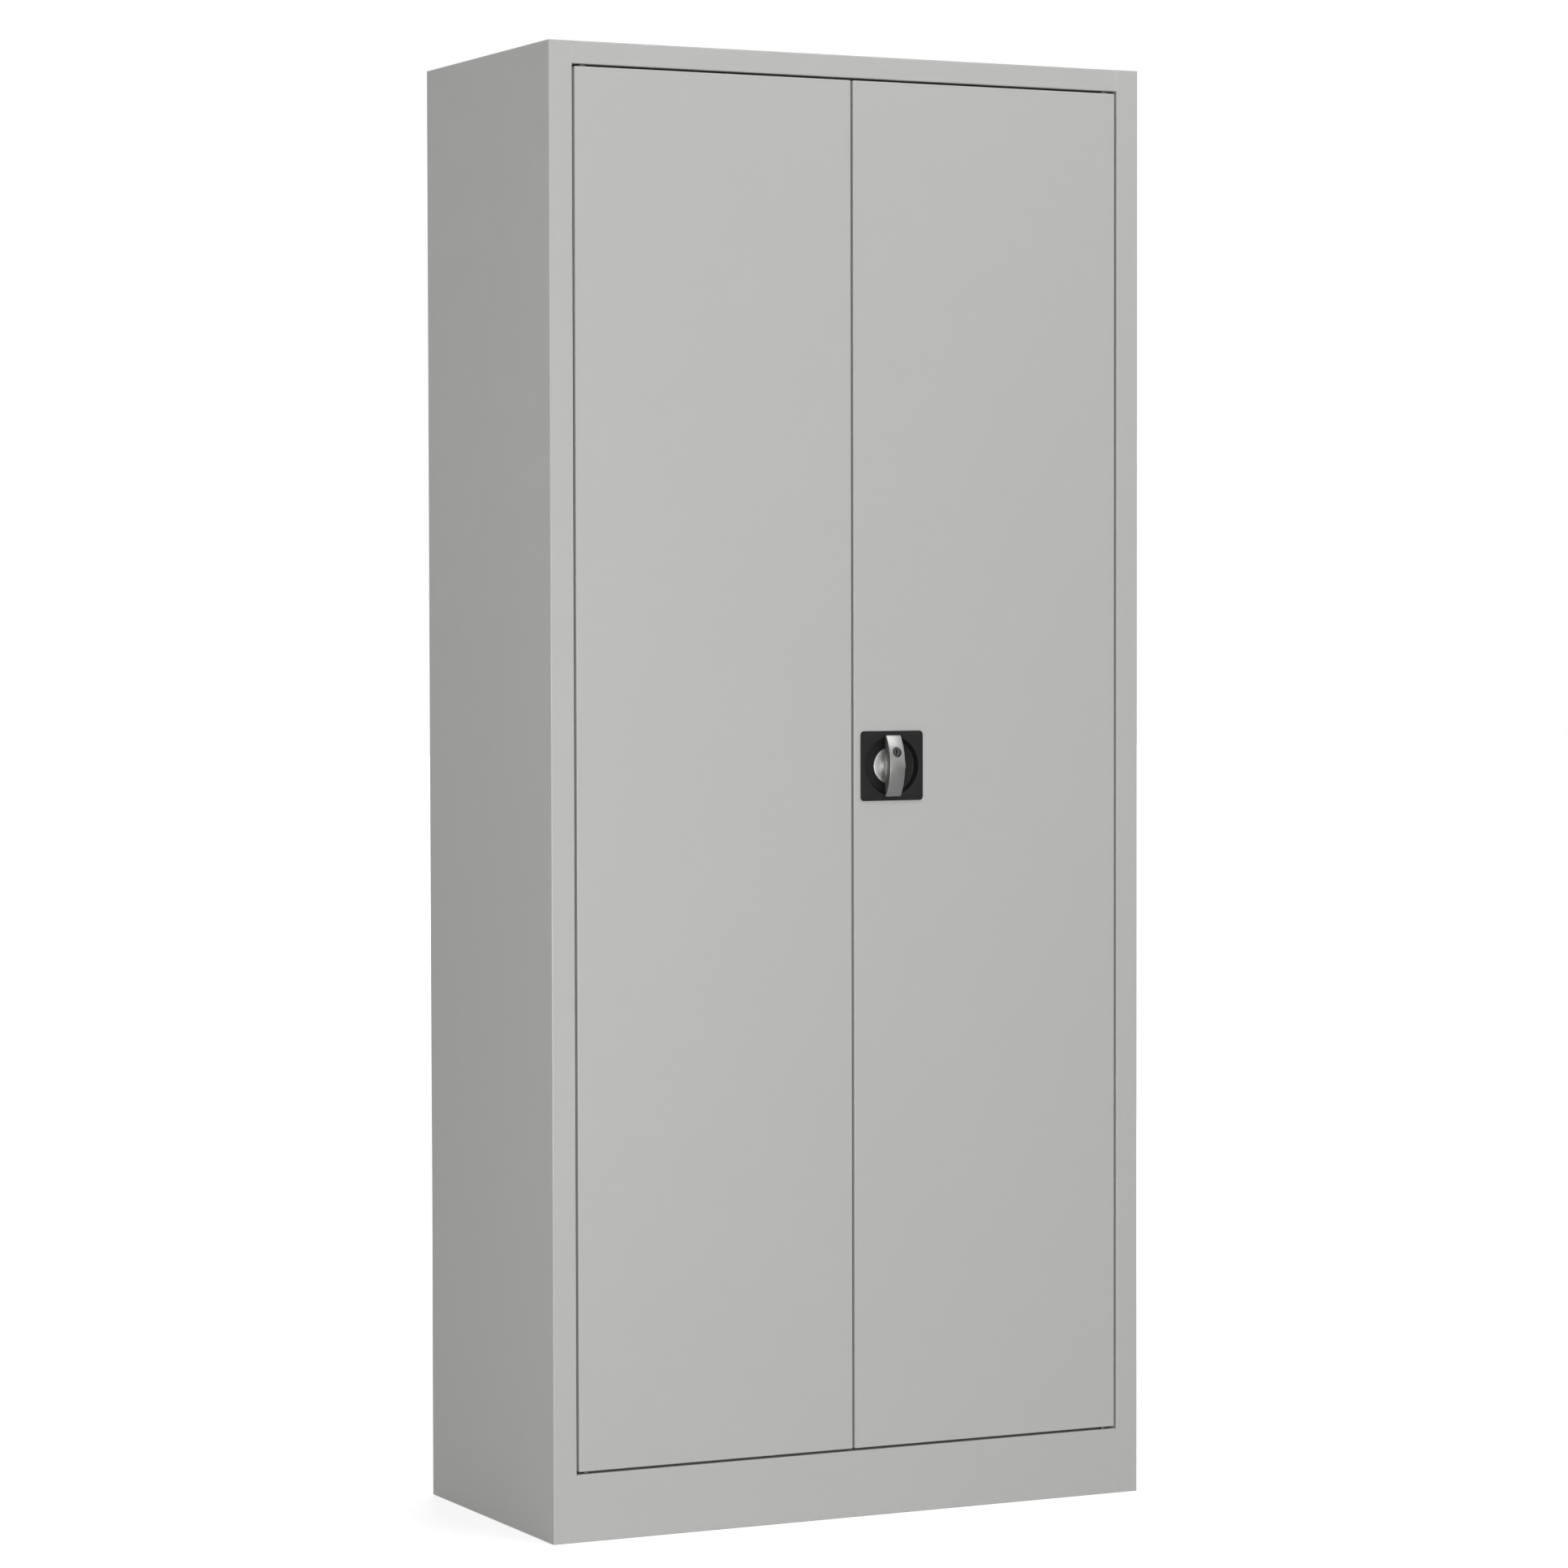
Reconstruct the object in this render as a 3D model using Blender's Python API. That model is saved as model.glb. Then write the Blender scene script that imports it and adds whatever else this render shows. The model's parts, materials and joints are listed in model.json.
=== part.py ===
"""Two-door sheet-steel storage cabinet with inset pivot doors and a three-point latch.

Metres, +Z up. The front faces -Y, the origin is the middle of the cabinet's footprint
with its handle, on the floor. All pieces stand where they are with both doors shut and
the latch drawn back.
"""

import math

import bmesh
import bpy
from mathutils import Matrix, Vector

# Overall size
WIDTH = 0.800
DEPTH = 0.380
HEIGHT = 1.780

# Sheet metal and fits
SHEET = 0.0008
INNER_BEND = 0.0004
FIT = 0.0003
OVERRUN = 0.002

# Front frame
JAMB_WIDTH = 0.030
RAIL_HEIGHT = 0.0265
PLINTH_HEIGHT = 0.0815
DOOR_GAP = 0.003
REBATE = 0.026
STOP_LIP = 0.012
SILL_STEP = 0.015

# Carcass folds
REAR_FLANGE = 0.015
TOP_FLANGE = 0.030
FLOOR_FLANGE = 0.025
BACK_FOOT = 0.020

# Slotted uprights and shelves
UPRIGHT_DEPTH = 0.012
UPRIGHT_WEB = 0.022
UPRIGHT_FLANGE = 0.008
FRONT_UPRIGHT = 0.060
REAR_UPRIGHT_SETBACK = 0.032
SLOT_PITCH = 0.050
SLOT_WIDTH = 0.0032
SLOT_HEIGHT = 0.008
SHELF_COUNT = 4
SHELF_FRONT = 0.046
SHELF_PLAY = 0.0015
SHELF_EDGE = 0.025
SHELF_LIP = 0.012

# Shelf clips
CLIP_PLATE = 0.0015
CLIP_LENGTH = 0.014
CLIP_WIDTH = 0.020
CLIP_DROP = 0.016
TAB_WIDTH = 0.0024
TAB_HEIGHT = 0.006
TAB_HOOK = 0.003

# Doors
DOOR_DEPTH = 0.020
DOOR_SIDE_LIP = 0.015
DOOR_END_LIP = 0.025
STIFFENER_WEB = 0.036
STIFFENER_FLANGE = 0.012
STIFFENER_DEPTH = 0.014
STIFFENER_END_GAP = 0.030

# Pivot hinges
PIVOT_INSET = 0.012
PIVOT_DEPTH = 0.008
PIN_RADIUS = 0.003
PIN_TIP = 0.010
PIN_CHAMFER = 0.001
PIN_HEAD_RADIUS = 0.005
PIN_HEAD = 0.0016
PIN_COLLAR_RADIUS = 0.006
BUSH_RADIUS = 0.005
BUSH_COLLAR_RADIUS = 0.007
BUSH_COLLAR = 0.0015
BUSH_LENGTH = 0.008

# Rubber buffers
BUFFER_RADIUS = 0.004
BUFFER_ROUND = 0.0005
BUFFER_STEM = 0.0017
BUFFER_BARB = 0.0026
BUFFER_BARB_LENGTH = 0.0024
BUFFER_FROM_CENTRE = 0.110

# Lock plate with its dish
LOCK_HEIGHT = 0.919
LOCK_FROM_EDGE = 0.0512
PLATE_SIZE = 0.085
PLATE_CORNER = 0.0045
PLATE_THICKNESS = 0.002
PLATE_EDGE = 0.0006
DISH_RADIUS = 0.036
DISH_TAPER = 0.0015
DISH_DEPTH = 0.0092
DISH_FILLET = 0.002
DISH_WALL = 0.0015
NECK_RADIUS = 0.011
NECK_BORE = 0.0058
NECK_END = 0.0209

# Turning handle
HUB_RADIUS = 0.022
HUB_THICKNESS = 0.003
HUB_EDGE = 0.0008
BOW_LENGTH = 0.075
BOW_WIDTH = 0.0205
BOW_CROWN = 0.0152
BOW_ARCH_RADIUS = 0.064
BOW_CLEARANCE = 0.0008
BOW_ROUND = 0.0008
STEM_RADIUS = 0.009
JOURNAL_RADIUS = 0.0055
SQUARE_SIZE = 0.007
SCREW_HOLE_RADIUS = 0.0023
SCREW_HOLE_DEPTH = 0.009

# Lock cylinder
CYLINDER_RADIUS = 0.006
CYLINDER_UP = 0.017
CYLINDER_RECESS = 0.0018
CYLINDER_LENGTH = 0.010
KEYWAY_WIDTH = 0.0014
KEYWAY_HEIGHT = 0.0072
KEYWAY_DEPTH = 0.004

# Clamp behind the door
BRIDGE_PLATE = 0.0015
BRIDGE_WIDTH = 0.040
BRIDGE_FOOT = 0.016
NUT_ACROSS = 0.028
NUT_THICKNESS = 0.004

# Tongue, crank and their screw
TONGUE_START = 0.0212
TONGUE_THICKNESS = 0.002
TONGUE_REACH = 0.062
TONGUE_TIP_RADIUS = 0.005
TONGUE_EYE_RADIUS = 0.009
CRANK_THICKNESS = 0.0025
CRANK_RADIUS = 0.015
CRANK_RIM = 0.0045
CRANK_PIN_RADIUS = 0.0025
CRANK_PIN_LENGTH = 0.0065
SCREW_HEAD_RADIUS = 0.005
SCREW_HEAD = 0.002
SCREW_RADIUS = 0.002
SCREW_LENGTH = 0.008

# Lock rods and their guides
ROD_START = 0.0285
ROD_THICKNESS = 0.003
ROD_WIDTH = 0.015
ROD_END = 0.004
ROD_TIP_CLEARANCE = 0.0015
ROD_TIP_CHAMFER = 0.003
PIN_SIDE_PLAY = 0.0005
PIN_RISE_PLAY = 0.0008
GUIDE_HEIGHT = 0.012
GUIDE_WALL = 0.004
GUIDE_BACK = 0.002
GUIDE_PLAY = 0.0004
GUIDE_CORNER = 0.002
GUIDE_CLEARANCE = 0.0025
FLOOR_SLOT_PLAY = 0.0005

# Counts and angles
BEND_SEGMENTS = 2
ROUND_STEPS = 24
DISH_STEPS = 48
HINGE_STEPS = 16
SMALL_ROUND_STEPS = 12
BOW_STEPS = 12
CORNER_STEPS = 4
QUARTER_TURN = math.radians(90)
CRANK_START = math.radians(-45)
SHARP_ANGLE = math.radians(35)

# What the sizes above give
HANDLE_REACH = FIT + PLATE_THICKNESS + BOW_CROWN
FRONT = (HANDLE_REACH - DEPTH) / 2
OUTER_BEND = INNER_BEND + SHEET
INNER_WIDTH = WIDTH - 2 * SHEET - 2 * FIT
OPENING_WIDTH = WIDTH - 2 * JAMB_WIDTH
BACK_PLANE = DEPTH - SHEET - FIT
REAR_LIMIT = BACK_PLANE - SHEET - FIT
REAR_UPRIGHT = REAR_LIMIT - REAR_UPRIGHT_SETBACK
FLOOR_TOP = PLINTH_HEIGHT + SILL_STEP
RAIL_BOTTOM = HEIGHT - RAIL_HEIGHT
LIP_BOTTOM = RAIL_BOTTOM - STOP_LIP
DOOR_BOTTOM = PLINTH_HEIGHT + DOOR_GAP
DOOR_TOP = RAIL_BOTTOM - DOOR_GAP
DOOR_HEIGHT = DOOR_TOP - DOOR_BOTTOM
DOOR_WIDTH = (OPENING_WIDTH - 3 * DOOR_GAP) / 2
DOOR_CENTRE = (DOOR_GAP + DOOR_WIDTH) / 2
PIVOT_X = OPENING_WIDTH / 2 - DOOR_GAP - PIVOT_INSET
WEB_X = INNER_WIDTH / 2 - UPRIGHT_DEPTH
LOCK_X = DOOR_GAP / 2 + LOCK_FROM_EDGE
PLATE_FRONT = FIT + PLATE_THICKNESS
DISH_FLOOR = DISH_DEPTH - PLATE_FRONT
CUP_BACK = DISH_FLOOR + DISH_WALL
CUP_RADIUS = DISH_RADIUS + DISH_WALL
CRANK_START_DEPTH = TONGUE_START + TONGUE_THICKNESS + FIT
CRANK_BACK = CRANK_START_DEPTH + CRANK_THICKNESS
ROD_OFFSET = CRANK_RADIUS * (1 + math.cos(QUARTER_TURN / 2)) / 2
ROD_CENTRE = ROD_START + ROD_THICKNESS / 2


def clear_scene():
    for obj in list(bpy.data.objects):
        bpy.data.objects.remove(obj, do_unlink=True)


# Frames and objects


def frame(name, at, parent=None):
    """An empty that carries the pieces of one rigid body."""
    empty = bpy.data.objects.new(name, None)
    bpy.context.collection.objects.link(empty)
    empty.parent = parent
    empty.location = Vector(at) - origin_of(parent)
    return empty


def origin_of(empty):
    """The place of a frame in the cabinet."""
    if empty is None:
        return Vector()
    return empty.location + origin_of(empty.parent)


def add(name, mesh, finish, carrier, at=(0, 0, 0), turn=(0, 0, 0)):
    """An object at a place in the cabinet, carried by a frame."""
    obj = bpy.data.objects.new(name, mesh)
    bpy.context.collection.objects.link(obj)
    obj.parent = carrier
    obj.location = Vector(at) - origin_of(carrier)
    obj.rotation_euler = turn
    if not mesh.materials:
        mesh.materials.append(finish)
    return obj


def behind(depth):
    """The y of a plane that lies this deep behind the doors' front face."""
    return FRONT + depth


def mesh_from(bm, name):
    bmesh.ops.recalc_face_normals(bm, faces=bm.faces)
    mesh = bpy.data.meshes.new(name)
    bm.to_mesh(mesh)
    bm.free()
    return mesh


def smooth(mesh):
    mesh.shade_smooth()
    mesh.set_sharp_from_angle(angle=SHARP_ANGLE)
    return mesh


# Materials


def finish(name, color, roughness, metallic):
    """A Principled material; the colour is linear."""
    material = bpy.data.materials.new(name)
    material.use_nodes = True
    shader = material.node_tree.nodes["Principled BSDF"]
    shader.inputs["Base Color"].default_value = (*color, 1)
    shader.inputs["Roughness"].default_value = roughness
    shader.inputs["Metallic"].default_value = metallic
    material.diffuse_color = (*color, 1)
    return material


def grey_coating(name):
    return finish(name, (0.50, 0.50, 0.49), 0.5, 0)


def black_plastic(name):
    return finish(name, (0.022, 0.022, 0.022), 0.45, 0)


def cast_metal(name):
    return finish(name, (0.55, 0.55, 0.54), 0.35, 1)


def zinc_plate(name):
    return finish(name, (0.58, 0.58, 0.57), 0.4, 1)


def white_nylon(name):
    return finish(name, (0.68, 0.67, 0.62), 0.45, 0)


def soft_rubber(name):
    return finish(name, (0.03, 0.03, 0.03), 0.8, 0)


# Sheet-metal forms


def round_folds(obj, thickness=SHEET):
    """Turn an open folded surface, which is the sheet's outer side, into bent sheet."""
    bends = obj.modifiers.new("bends", "BEVEL")
    bends.width = INNER_BEND + thickness
    bends.segments = BEND_SEGMENTS
    bends.limit_method = "ANGLE"
    bends.angle_limit = SHARP_ANGLE
    sheet = obj.modifiers.new("sheet", "SOLIDIFY")
    sheet.thickness = thickness
    sheet.offset = -1
    sheet.use_even_offset = True
    return obj


def swept(name, line, way):
    """An open sheet: a bent line swept straight. Its outer side is the line crossed with the way."""
    bm = bmesh.new()
    near = [bm.verts.new(point) for point in line]
    far = [bm.verts.new(Vector(point) + Vector(way)) for point in line]
    for i in range(len(line) - 1):
        bm.faces.new((near[i], near[i + 1], far[i + 1], far[i]))
    mesh = bpy.data.meshes.new(name)
    bm.to_mesh(mesh)
    bm.free()
    return mesh


def tray(name, width, height, depth, side_lip=0, end_lip=0):
    """A folded tray round its own middle: face up at z 0, edges down, lips turned in below."""
    bm = bmesh.new()
    corner_signs = ((-1, -1), (1, -1), (1, 1), (-1, 1))
    upper = [bm.verts.new((a * width / 2, b * height / 2, 0)) for a, b in corner_signs]
    lower = [bm.verts.new((v.co.x, v.co.y, -depth)) for v in upper]
    rings = [upper, lower]
    if side_lip:
        half_x = width / 2 - side_lip
        half_y = height / 2 - end_lip
        rings.append([bm.verts.new((a * half_x, b * half_y, -depth)) for a, b in corner_signs])
    bm.faces.new(upper)
    for outer, inner in zip(rings, rings[1:]):
        for i in range(4):
            j = (i + 1) % 4
            bm.faces.new((outer[j], outer[i], inner[i], inner[j]))
    mesh = bpy.data.meshes.new(name)
    bm.to_mesh(mesh)
    bm.free()
    return mesh


# Solid forms


def turned(name, profile, steps=ROUND_STEPS, ring=False):
    """A turned piece about z from (radius, z) points; a ring's profile closes on itself."""
    bm = bmesh.new()
    points = [bm.verts.new((radius, 0, height)) for radius, height in profile]
    pairs = list(zip(points, points[1:]))
    if ring:
        pairs.append((points[-1], points[0]))
    edges = [bm.edges.new(pair) for pair in pairs]
    bmesh.ops.spin(
        bm, geom=points + edges, cent=(0, 0, 0), axis=(0, 0, 1), angle=math.tau, steps=steps
    )
    bmesh.ops.remove_doubles(bm, verts=bm.verts, dist=FIT / ROUND_STEPS)
    return smooth(mesh_from(bm, name))


def prism(name, outline, low, high):
    """A plate with this outline in x and y, from one height to another."""
    bm = bmesh.new()
    base = bm.faces.new([bm.verts.new((x, y, low)) for x, y in outline])
    grown = bmesh.ops.extrude_face_region(bm, geom=[base])["geom"]
    raised = [item for item in grown if isinstance(item, bmesh.types.BMVert)]
    bmesh.ops.translate(bm, verts=raised, vec=(0, 0, high - low))
    return mesh_from(bm, name)


def arc(centre, radius, start, end, steps):
    """Points along an arc, both ends included."""
    angles = [start + (end - start) * i / steps for i in range(steps + 1)]
    return [(centre[0] + radius * math.cos(a), centre[1] + radius * math.sin(a)) for a in angles]


def rounded_rectangle(width, height, radius):
    outline = []
    for i, (a, b) in enumerate(((1, 1), (-1, 1), (-1, -1), (1, -1))):
        centre = (a * (width / 2 - radius), b * (height / 2 - radius))
        start = i * QUARTER_TURN
        outline += arc(centre, radius, start, start + QUARTER_TURN, CORNER_STEPS)
    return outline


def link_outline(eye_radius, tip_radius, reach):
    """A bar with two round ends of unlike radius, from the origin up along y."""
    lean = math.asin((eye_radius - tip_radius) / (reach - tip_radius))
    tip = (0, reach - tip_radius)
    upper = arc(tip, tip_radius, lean, 2 * QUARTER_TURN - lean, SMALL_ROUND_STEPS // 2)
    lower = arc((0, 0), eye_radius, 2 * QUARTER_TURN - lean, 4 * QUARTER_TURN + lean, SMALL_ROUND_STEPS)
    return upper + lower


def box(bm, low, high):
    low = Vector(low)
    size = Vector(high) - low
    bmesh.ops.create_cube(bm, size=1, matrix=Matrix.LocRotScale(low + size / 2, None, size))


def cylinder(bm, radius, start, end, steps=ROUND_STEPS):
    start = Vector(start)
    way = Vector(end) - start
    turn = Vector((0, 0, 1)).rotation_difference(way)
    bmesh.ops.create_cone(
        bm,
        cap_ends=True,
        segments=steps,
        radius1=radius,
        radius2=radius,
        depth=way.length,
        matrix=Matrix.LocRotScale(start + way / 2, turn, None),
    )


# Booleans


def combine(obj, other, operation):
    """Join a helper solid to an object, or cut it out."""
    other.hide_render = True
    other.display_type = "WIRE"
    step = obj.modifiers.new(other.name, "BOOLEAN")
    step.operation = operation
    step.object = other
    return obj


def cut(obj, bm):
    """Cut closed shapes, given in the object's own coordinates, out of it."""
    name = obj.name + "_cut_" + str(len(obj.modifiers))
    helper = bpy.data.objects.new(name, mesh_from(bm, name))
    bpy.context.collection.objects.link(helper)
    helper.parent = obj
    return combine(obj, helper, "DIFFERENCE")


def join(obj, mesh):
    """Join one closed mesh, given in the object's own coordinates, to it."""
    helper = bpy.data.objects.new(obj.name + "_" + mesh.name, mesh)
    bpy.context.collection.objects.link(helper)
    helper.parent = obj
    return combine(obj, helper, "UNION")


# Carcass


def side_panel(name, side, coat, carrier):
    """Side wall, front jamb with its return, and rear flange, bent from one sheet."""
    wall = side * WIDTH / 2
    jamb = side * (WIDTH / 2 - JAMB_WIDTH)
    rear = side * (WIDTH / 2 - REAR_FLANGE)
    line = [
        (jamb, behind(REBATE - FIT), 0),
        (jamb, behind(0), 0),
        (wall, behind(0), 0),
        (wall, behind(DEPTH), 0),
        (rear, behind(DEPTH), 0),
    ]
    if side < 0:
        line.reverse()
    panel = round_folds(add(name, swept(name, line, (0, 0, HEIGHT)), coat, carrier))
    relief = bmesh.new()
    inner = side * (WIDTH / 2 - JAMB_WIDTH - OVERRUN)
    outer = side * (WIDTH / 2 - JAMB_WIDTH + SHEET + FIT + INNER_BEND)
    box(
        relief,
        (min(inner, outer), behind(SHEET + FIT), HEIGHT - SHEET - FIT),
        (max(inner, outer), behind(REBATE + OVERRUN), HEIGHT + OVERRUN),
    )
    return cut(panel, relief)


def back_panel(coat, carrier):
    """Flat rear sheet with a foot folded forward on the floor."""
    foot = behind(BACK_PLANE - BACK_FOOT)
    left = -INNER_WIDTH / 2
    line = [
        (left, foot, 0),
        (left, behind(BACK_PLANE), 0),
        (left, behind(BACK_PLANE), HEIGHT - TOP_FLANGE - FIT),
    ]
    mesh = swept("back_panel", line, (INNER_WIDTH, 0, 0))
    return round_folds(add("back_panel", mesh, coat, carrier))


def top_panel(coat, carrier):
    """Top, front rail, its return and the doors' stop lip, with flanges down the other sides."""
    half = INNER_WIDTH / 2
    tongue = OPENING_WIDTH / 2 - FIT
    notch = behind(OUTER_BEND + SHEET + FIT)
    rows = [
        (behind(REBATE), LIP_BOTTOM),
        (behind(REBATE), RAIL_BOTTOM),
        (behind(0), RAIL_BOTTOM),
        (behind(0), HEIGHT),
        (notch, HEIGHT),
        (behind(BACK_PLANE), HEIGHT),
        (behind(BACK_PLANE), HEIGHT - TOP_FLANGE),
    ]
    bm = bmesh.new()
    inner = {(x, row): bm.verts.new((x, *rows[row])) for x in (-tongue, tongue) for row in range(7)}
    outer = {(x, row): bm.verts.new((x, *rows[row])) for x in (-half, half) for row in (4, 5, 6)}
    for row in range(6):
        bm.faces.new(
            (inner[-tongue, row], inner[-tongue, row + 1], inner[tongue, row + 1], inner[tongue, row])
        )
    for side in (-1, 1):
        x, edge = side * tongue, side * half
        for row in (4, 5):
            bm.faces.new((inner[x, row], inner[x, row + 1], outer[edge, row + 1], outer[edge, row]))
        front = bm.verts.new((edge, notch, HEIGHT - TOP_FLANGE))
        bm.faces.new((outer[edge, 4], outer[edge, 5], outer[edge, 6], front))
    mesh = mesh_from(bm, "top_panel")
    if max(mesh.polygons, key=lambda face: face.area).normal.z < 0:
        mesh.flip_normals()
    panel = round_folds(add("top_panel", mesh, coat, carrier))
    holes = bmesh.new()
    for side in (-1, 1):
        pivot = (side * PIVOT_X, behind(PIVOT_DEPTH))
        cylinder(
            holes,
            PIN_RADIUS + FIT,
            (*pivot, RAIL_BOTTOM - OVERRUN),
            (*pivot, RAIL_BOTTOM + SHEET + OVERRUN),
        )
        buffer_hole(holes, side, (LIP_BOTTOM + DOOR_TOP) / 2)
    return cut(panel, holes)


def floor_panel(coat, carrier):
    """Bottom shelf; its front flange is the doors' lower stop."""
    depth = REAR_LIMIT - REBATE
    mesh = tray("floor_panel", INNER_WIDTH, depth, FLOOR_FLANGE)
    place = (0, behind(REBATE + depth / 2), FLOOR_TOP)
    panel = round_folds(add("floor_panel", mesh, coat, carrier, place))
    holes = bmesh.new()
    for side in (-1, 1):
        buffer_hole(holes, side, (DOOR_BOTTOM + FLOOR_TOP) / 2)
    half_x = ROD_WIDTH / 2 + FLOOR_SLOT_PLAY
    half_y = ROD_THICKNESS / 2 + FLOOR_SLOT_PLAY
    x = LOCK_X - ROD_OFFSET
    box(
        holes,
        (x - half_x, behind(ROD_CENTRE) - half_y, FLOOR_TOP - SHEET - OVERRUN),
        (x + half_x, behind(ROD_CENTRE) + half_y, FLOOR_TOP + OVERRUN),
    )
    bmesh.ops.translate(holes, verts=holes.verts, vec=-Vector(place))
    return cut(panel, holes)


def plinth_front(coat, carrier):
    """Kick plate between the jambs; its top edge is the sill that carries the doors."""
    mesh = tray("plinth_front", OPENING_WIDTH - 2 * FIT, PLINTH_HEIGHT, REBATE - FIT)
    place = (0, behind(0), PLINTH_HEIGHT / 2)
    panel = round_folds(add("plinth_front", mesh, coat, carrier, place, (QUARTER_TURN, 0, 0)))
    holes = bmesh.new()
    for side in (-1, 1):
        cylinder(
            holes,
            PIN_RADIUS + FIT,
            (side * PIVOT_X, PLINTH_HEIGHT / 2 + OVERRUN, -PIVOT_DEPTH),
            (side * PIVOT_X, PLINTH_HEIGHT / 2 - SHEET - OVERRUN, -PIVOT_DEPTH),
        )
    return cut(panel, holes)


# Uprights, shelves and clips


def shelf_height(number):
    """Top of a shelf, counted from 1, at a whole number of slot pitches above the floor panel."""
    clear = RAIL_BOTTOM - FLOOR_TOP
    steps = round(clear / (SHELF_COUNT + 1) / SLOT_PITCH)
    return FLOOR_TOP + number * steps * SLOT_PITCH


def slot_bottoms():
    """Lower ends of the slots, so that a clip's tab rests in each."""
    first = FLOOR_TOP - SHELF_EDGE - FIT - TAB_HEIGHT - FIT
    top = HEIGHT - TOP_FLANGE - SLOT_PITCH / 2
    count = int((top - first) / SLOT_PITCH)
    return [first + i * SLOT_PITCH for i in range(1, count + 1)]


def shelf_upright(name, side, centre, coat, carrier):
    """Hat-shaped strip on a side wall, slotted for the shelf clips."""
    wall = side * (INNER_WIDTH / 2 - SHEET)
    web = side * WEB_X
    half = UPRIGHT_WEB / 2
    low = FLOOR_TOP + FIT
    line = [
        (wall, behind(centre) - half - UPRIGHT_FLANGE, low),
        (wall, behind(centre) - half, low),
        (web, behind(centre) - half, low),
        (web, behind(centre) + half, low),
        (wall, behind(centre) + half, low),
        (wall, behind(centre) + half + UPRIGHT_FLANGE, low),
    ]
    if side > 0:
        line.reverse()
    length = HEIGHT - TOP_FLANGE - FIT - low
    upright = round_folds(add(name, swept(name, line, (0, 0, length)), coat, carrier))
    slots = bmesh.new()
    for bottom in slot_bottoms():
        box(
            slots,
            (min(web, wall) - OVERRUN, behind(centre) - SLOT_WIDTH / 2, bottom),
            (max(web, wall) + OVERRUN, behind(centre) + SLOT_WIDTH / 2, bottom + SLOT_HEIGHT),
        )
    return cut(upright, slots)


def shelf(number, coat, carrier):
    """Loose shelf with double-folded edges."""
    name = "shelf_" + str(number)
    depth = REAR_LIMIT - SHELF_PLAY - SHELF_FRONT
    width = 2 * (WEB_X - SHELF_PLAY)
    mesh = tray(name, width, depth, SHELF_EDGE, SHELF_LIP, SHELF_LIP)
    place = (0, behind(SHELF_FRONT + depth / 2), shelf_height(number))
    return round_folds(add(name, mesh, coat, carrier, place))


def clip_mesh():
    """Hanging clip: a ledge towards +x, a plate that bears on the upright, a tab through its slot."""
    bm = bmesh.new()
    columns = (-CLIP_WIDTH / 2, -TAB_WIDTH / 2, TAB_WIDTH / 2, CLIP_WIDTH / 2)
    rows = (-CLIP_DROP, -TAB_HEIGHT, -CLIP_PLATE, 0)
    grid = [[bm.verts.new((0, y, z)) for y in columns] for z in rows]
    cells = {}
    for i in range(3):
        for j in range(3):
            cells[i, j] = bm.faces.new((grid[i][j], grid[i][j + 1], grid[i + 1][j + 1], grid[i + 1][j]))
    plate = pull(bm, list(cells.values()), (CLIP_PLATE, 0, 0))
    ledge = [face for face in plate if face.calc_center_median().z > -CLIP_PLATE]
    pull(bm, ledge, (CLIP_LENGTH - CLIP_PLATE, 0, 0))
    back = [face for face in bm.faces if abs(face.normal.x) > math.cos(SHARP_ANGLE)]
    back = [face for face in back if face.calc_center_median().x < CLIP_PLATE / 2]
    tab = [face for face in back if abs(face.calc_center_median().y) < TAB_WIDTH / 2]
    tab = [face for face in tab if face.calc_center_median().z > -TAB_HEIGHT]
    pull(bm, tab, (-(FIT + SHEET + TAB_HOOK), 0, 0))
    return mesh_from(bm, "shelf_clip")


def pull(bm, faces, way):
    """Extrude faces along a way and return the ones that moved."""
    edges = {edge for face in faces for edge in face.edges}
    grown = bmesh.ops.extrude_face_region(bm, geom=faces + list(edges))["geom"]
    moved = [item for item in grown if isinstance(item, bmesh.types.BMVert)]
    bmesh.ops.translate(bm, verts=moved, vec=way)
    bm.normal_update()
    return [item for item in grown if isinstance(item, bmesh.types.BMFace)]


def shelf_clips(number, mesh, plating, carrier):
    """The four clips under one shelf."""
    ledge = shelf_height(number) - SHELF_EDGE - FIT
    for depth_name, depth in (("front", FRONT_UPRIGHT), ("rear", REAR_UPRIGHT)):
        for side_name, side in (("left", -1), ("right", 1)):
            name = "_".join(("shelf", str(number), "clip", depth_name, side_name))
            place = (side * (WEB_X - FIT), behind(depth), ledge)
            turn = (0, 0, 0) if side < 0 else (0, 0, 2 * QUARTER_TURN)
            add(name, mesh, plating, carrier, place, turn)


# Hinges and buffers


def pin_mesh():
    """Riveted pivot pin: head under the sill, collar in the gap, tip in the door's bush."""
    sheet_end = -SHEET - FIT
    tip = DOOR_GAP + PIN_TIP
    return turned(
        "hinge_pin",
        [
            (0, sheet_end - PIN_HEAD),
            (PIN_HEAD_RADIUS - PIN_CHAMFER, sheet_end - PIN_HEAD),
            (PIN_HEAD_RADIUS, sheet_end - PIN_HEAD + PIN_CHAMFER),
            (PIN_HEAD_RADIUS, sheet_end),
            (PIN_RADIUS, sheet_end),
            (PIN_RADIUS, FIT),
            (PIN_COLLAR_RADIUS, FIT),
            (PIN_COLLAR_RADIUS, DOOR_GAP - FIT),
            (PIN_RADIUS, DOOR_GAP - FIT),
            (PIN_RADIUS, tip - PIN_CHAMFER),
            (PIN_RADIUS - PIN_CHAMFER, tip),
            (0, tip),
        ],
        HINGE_STEPS,
    )


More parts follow.
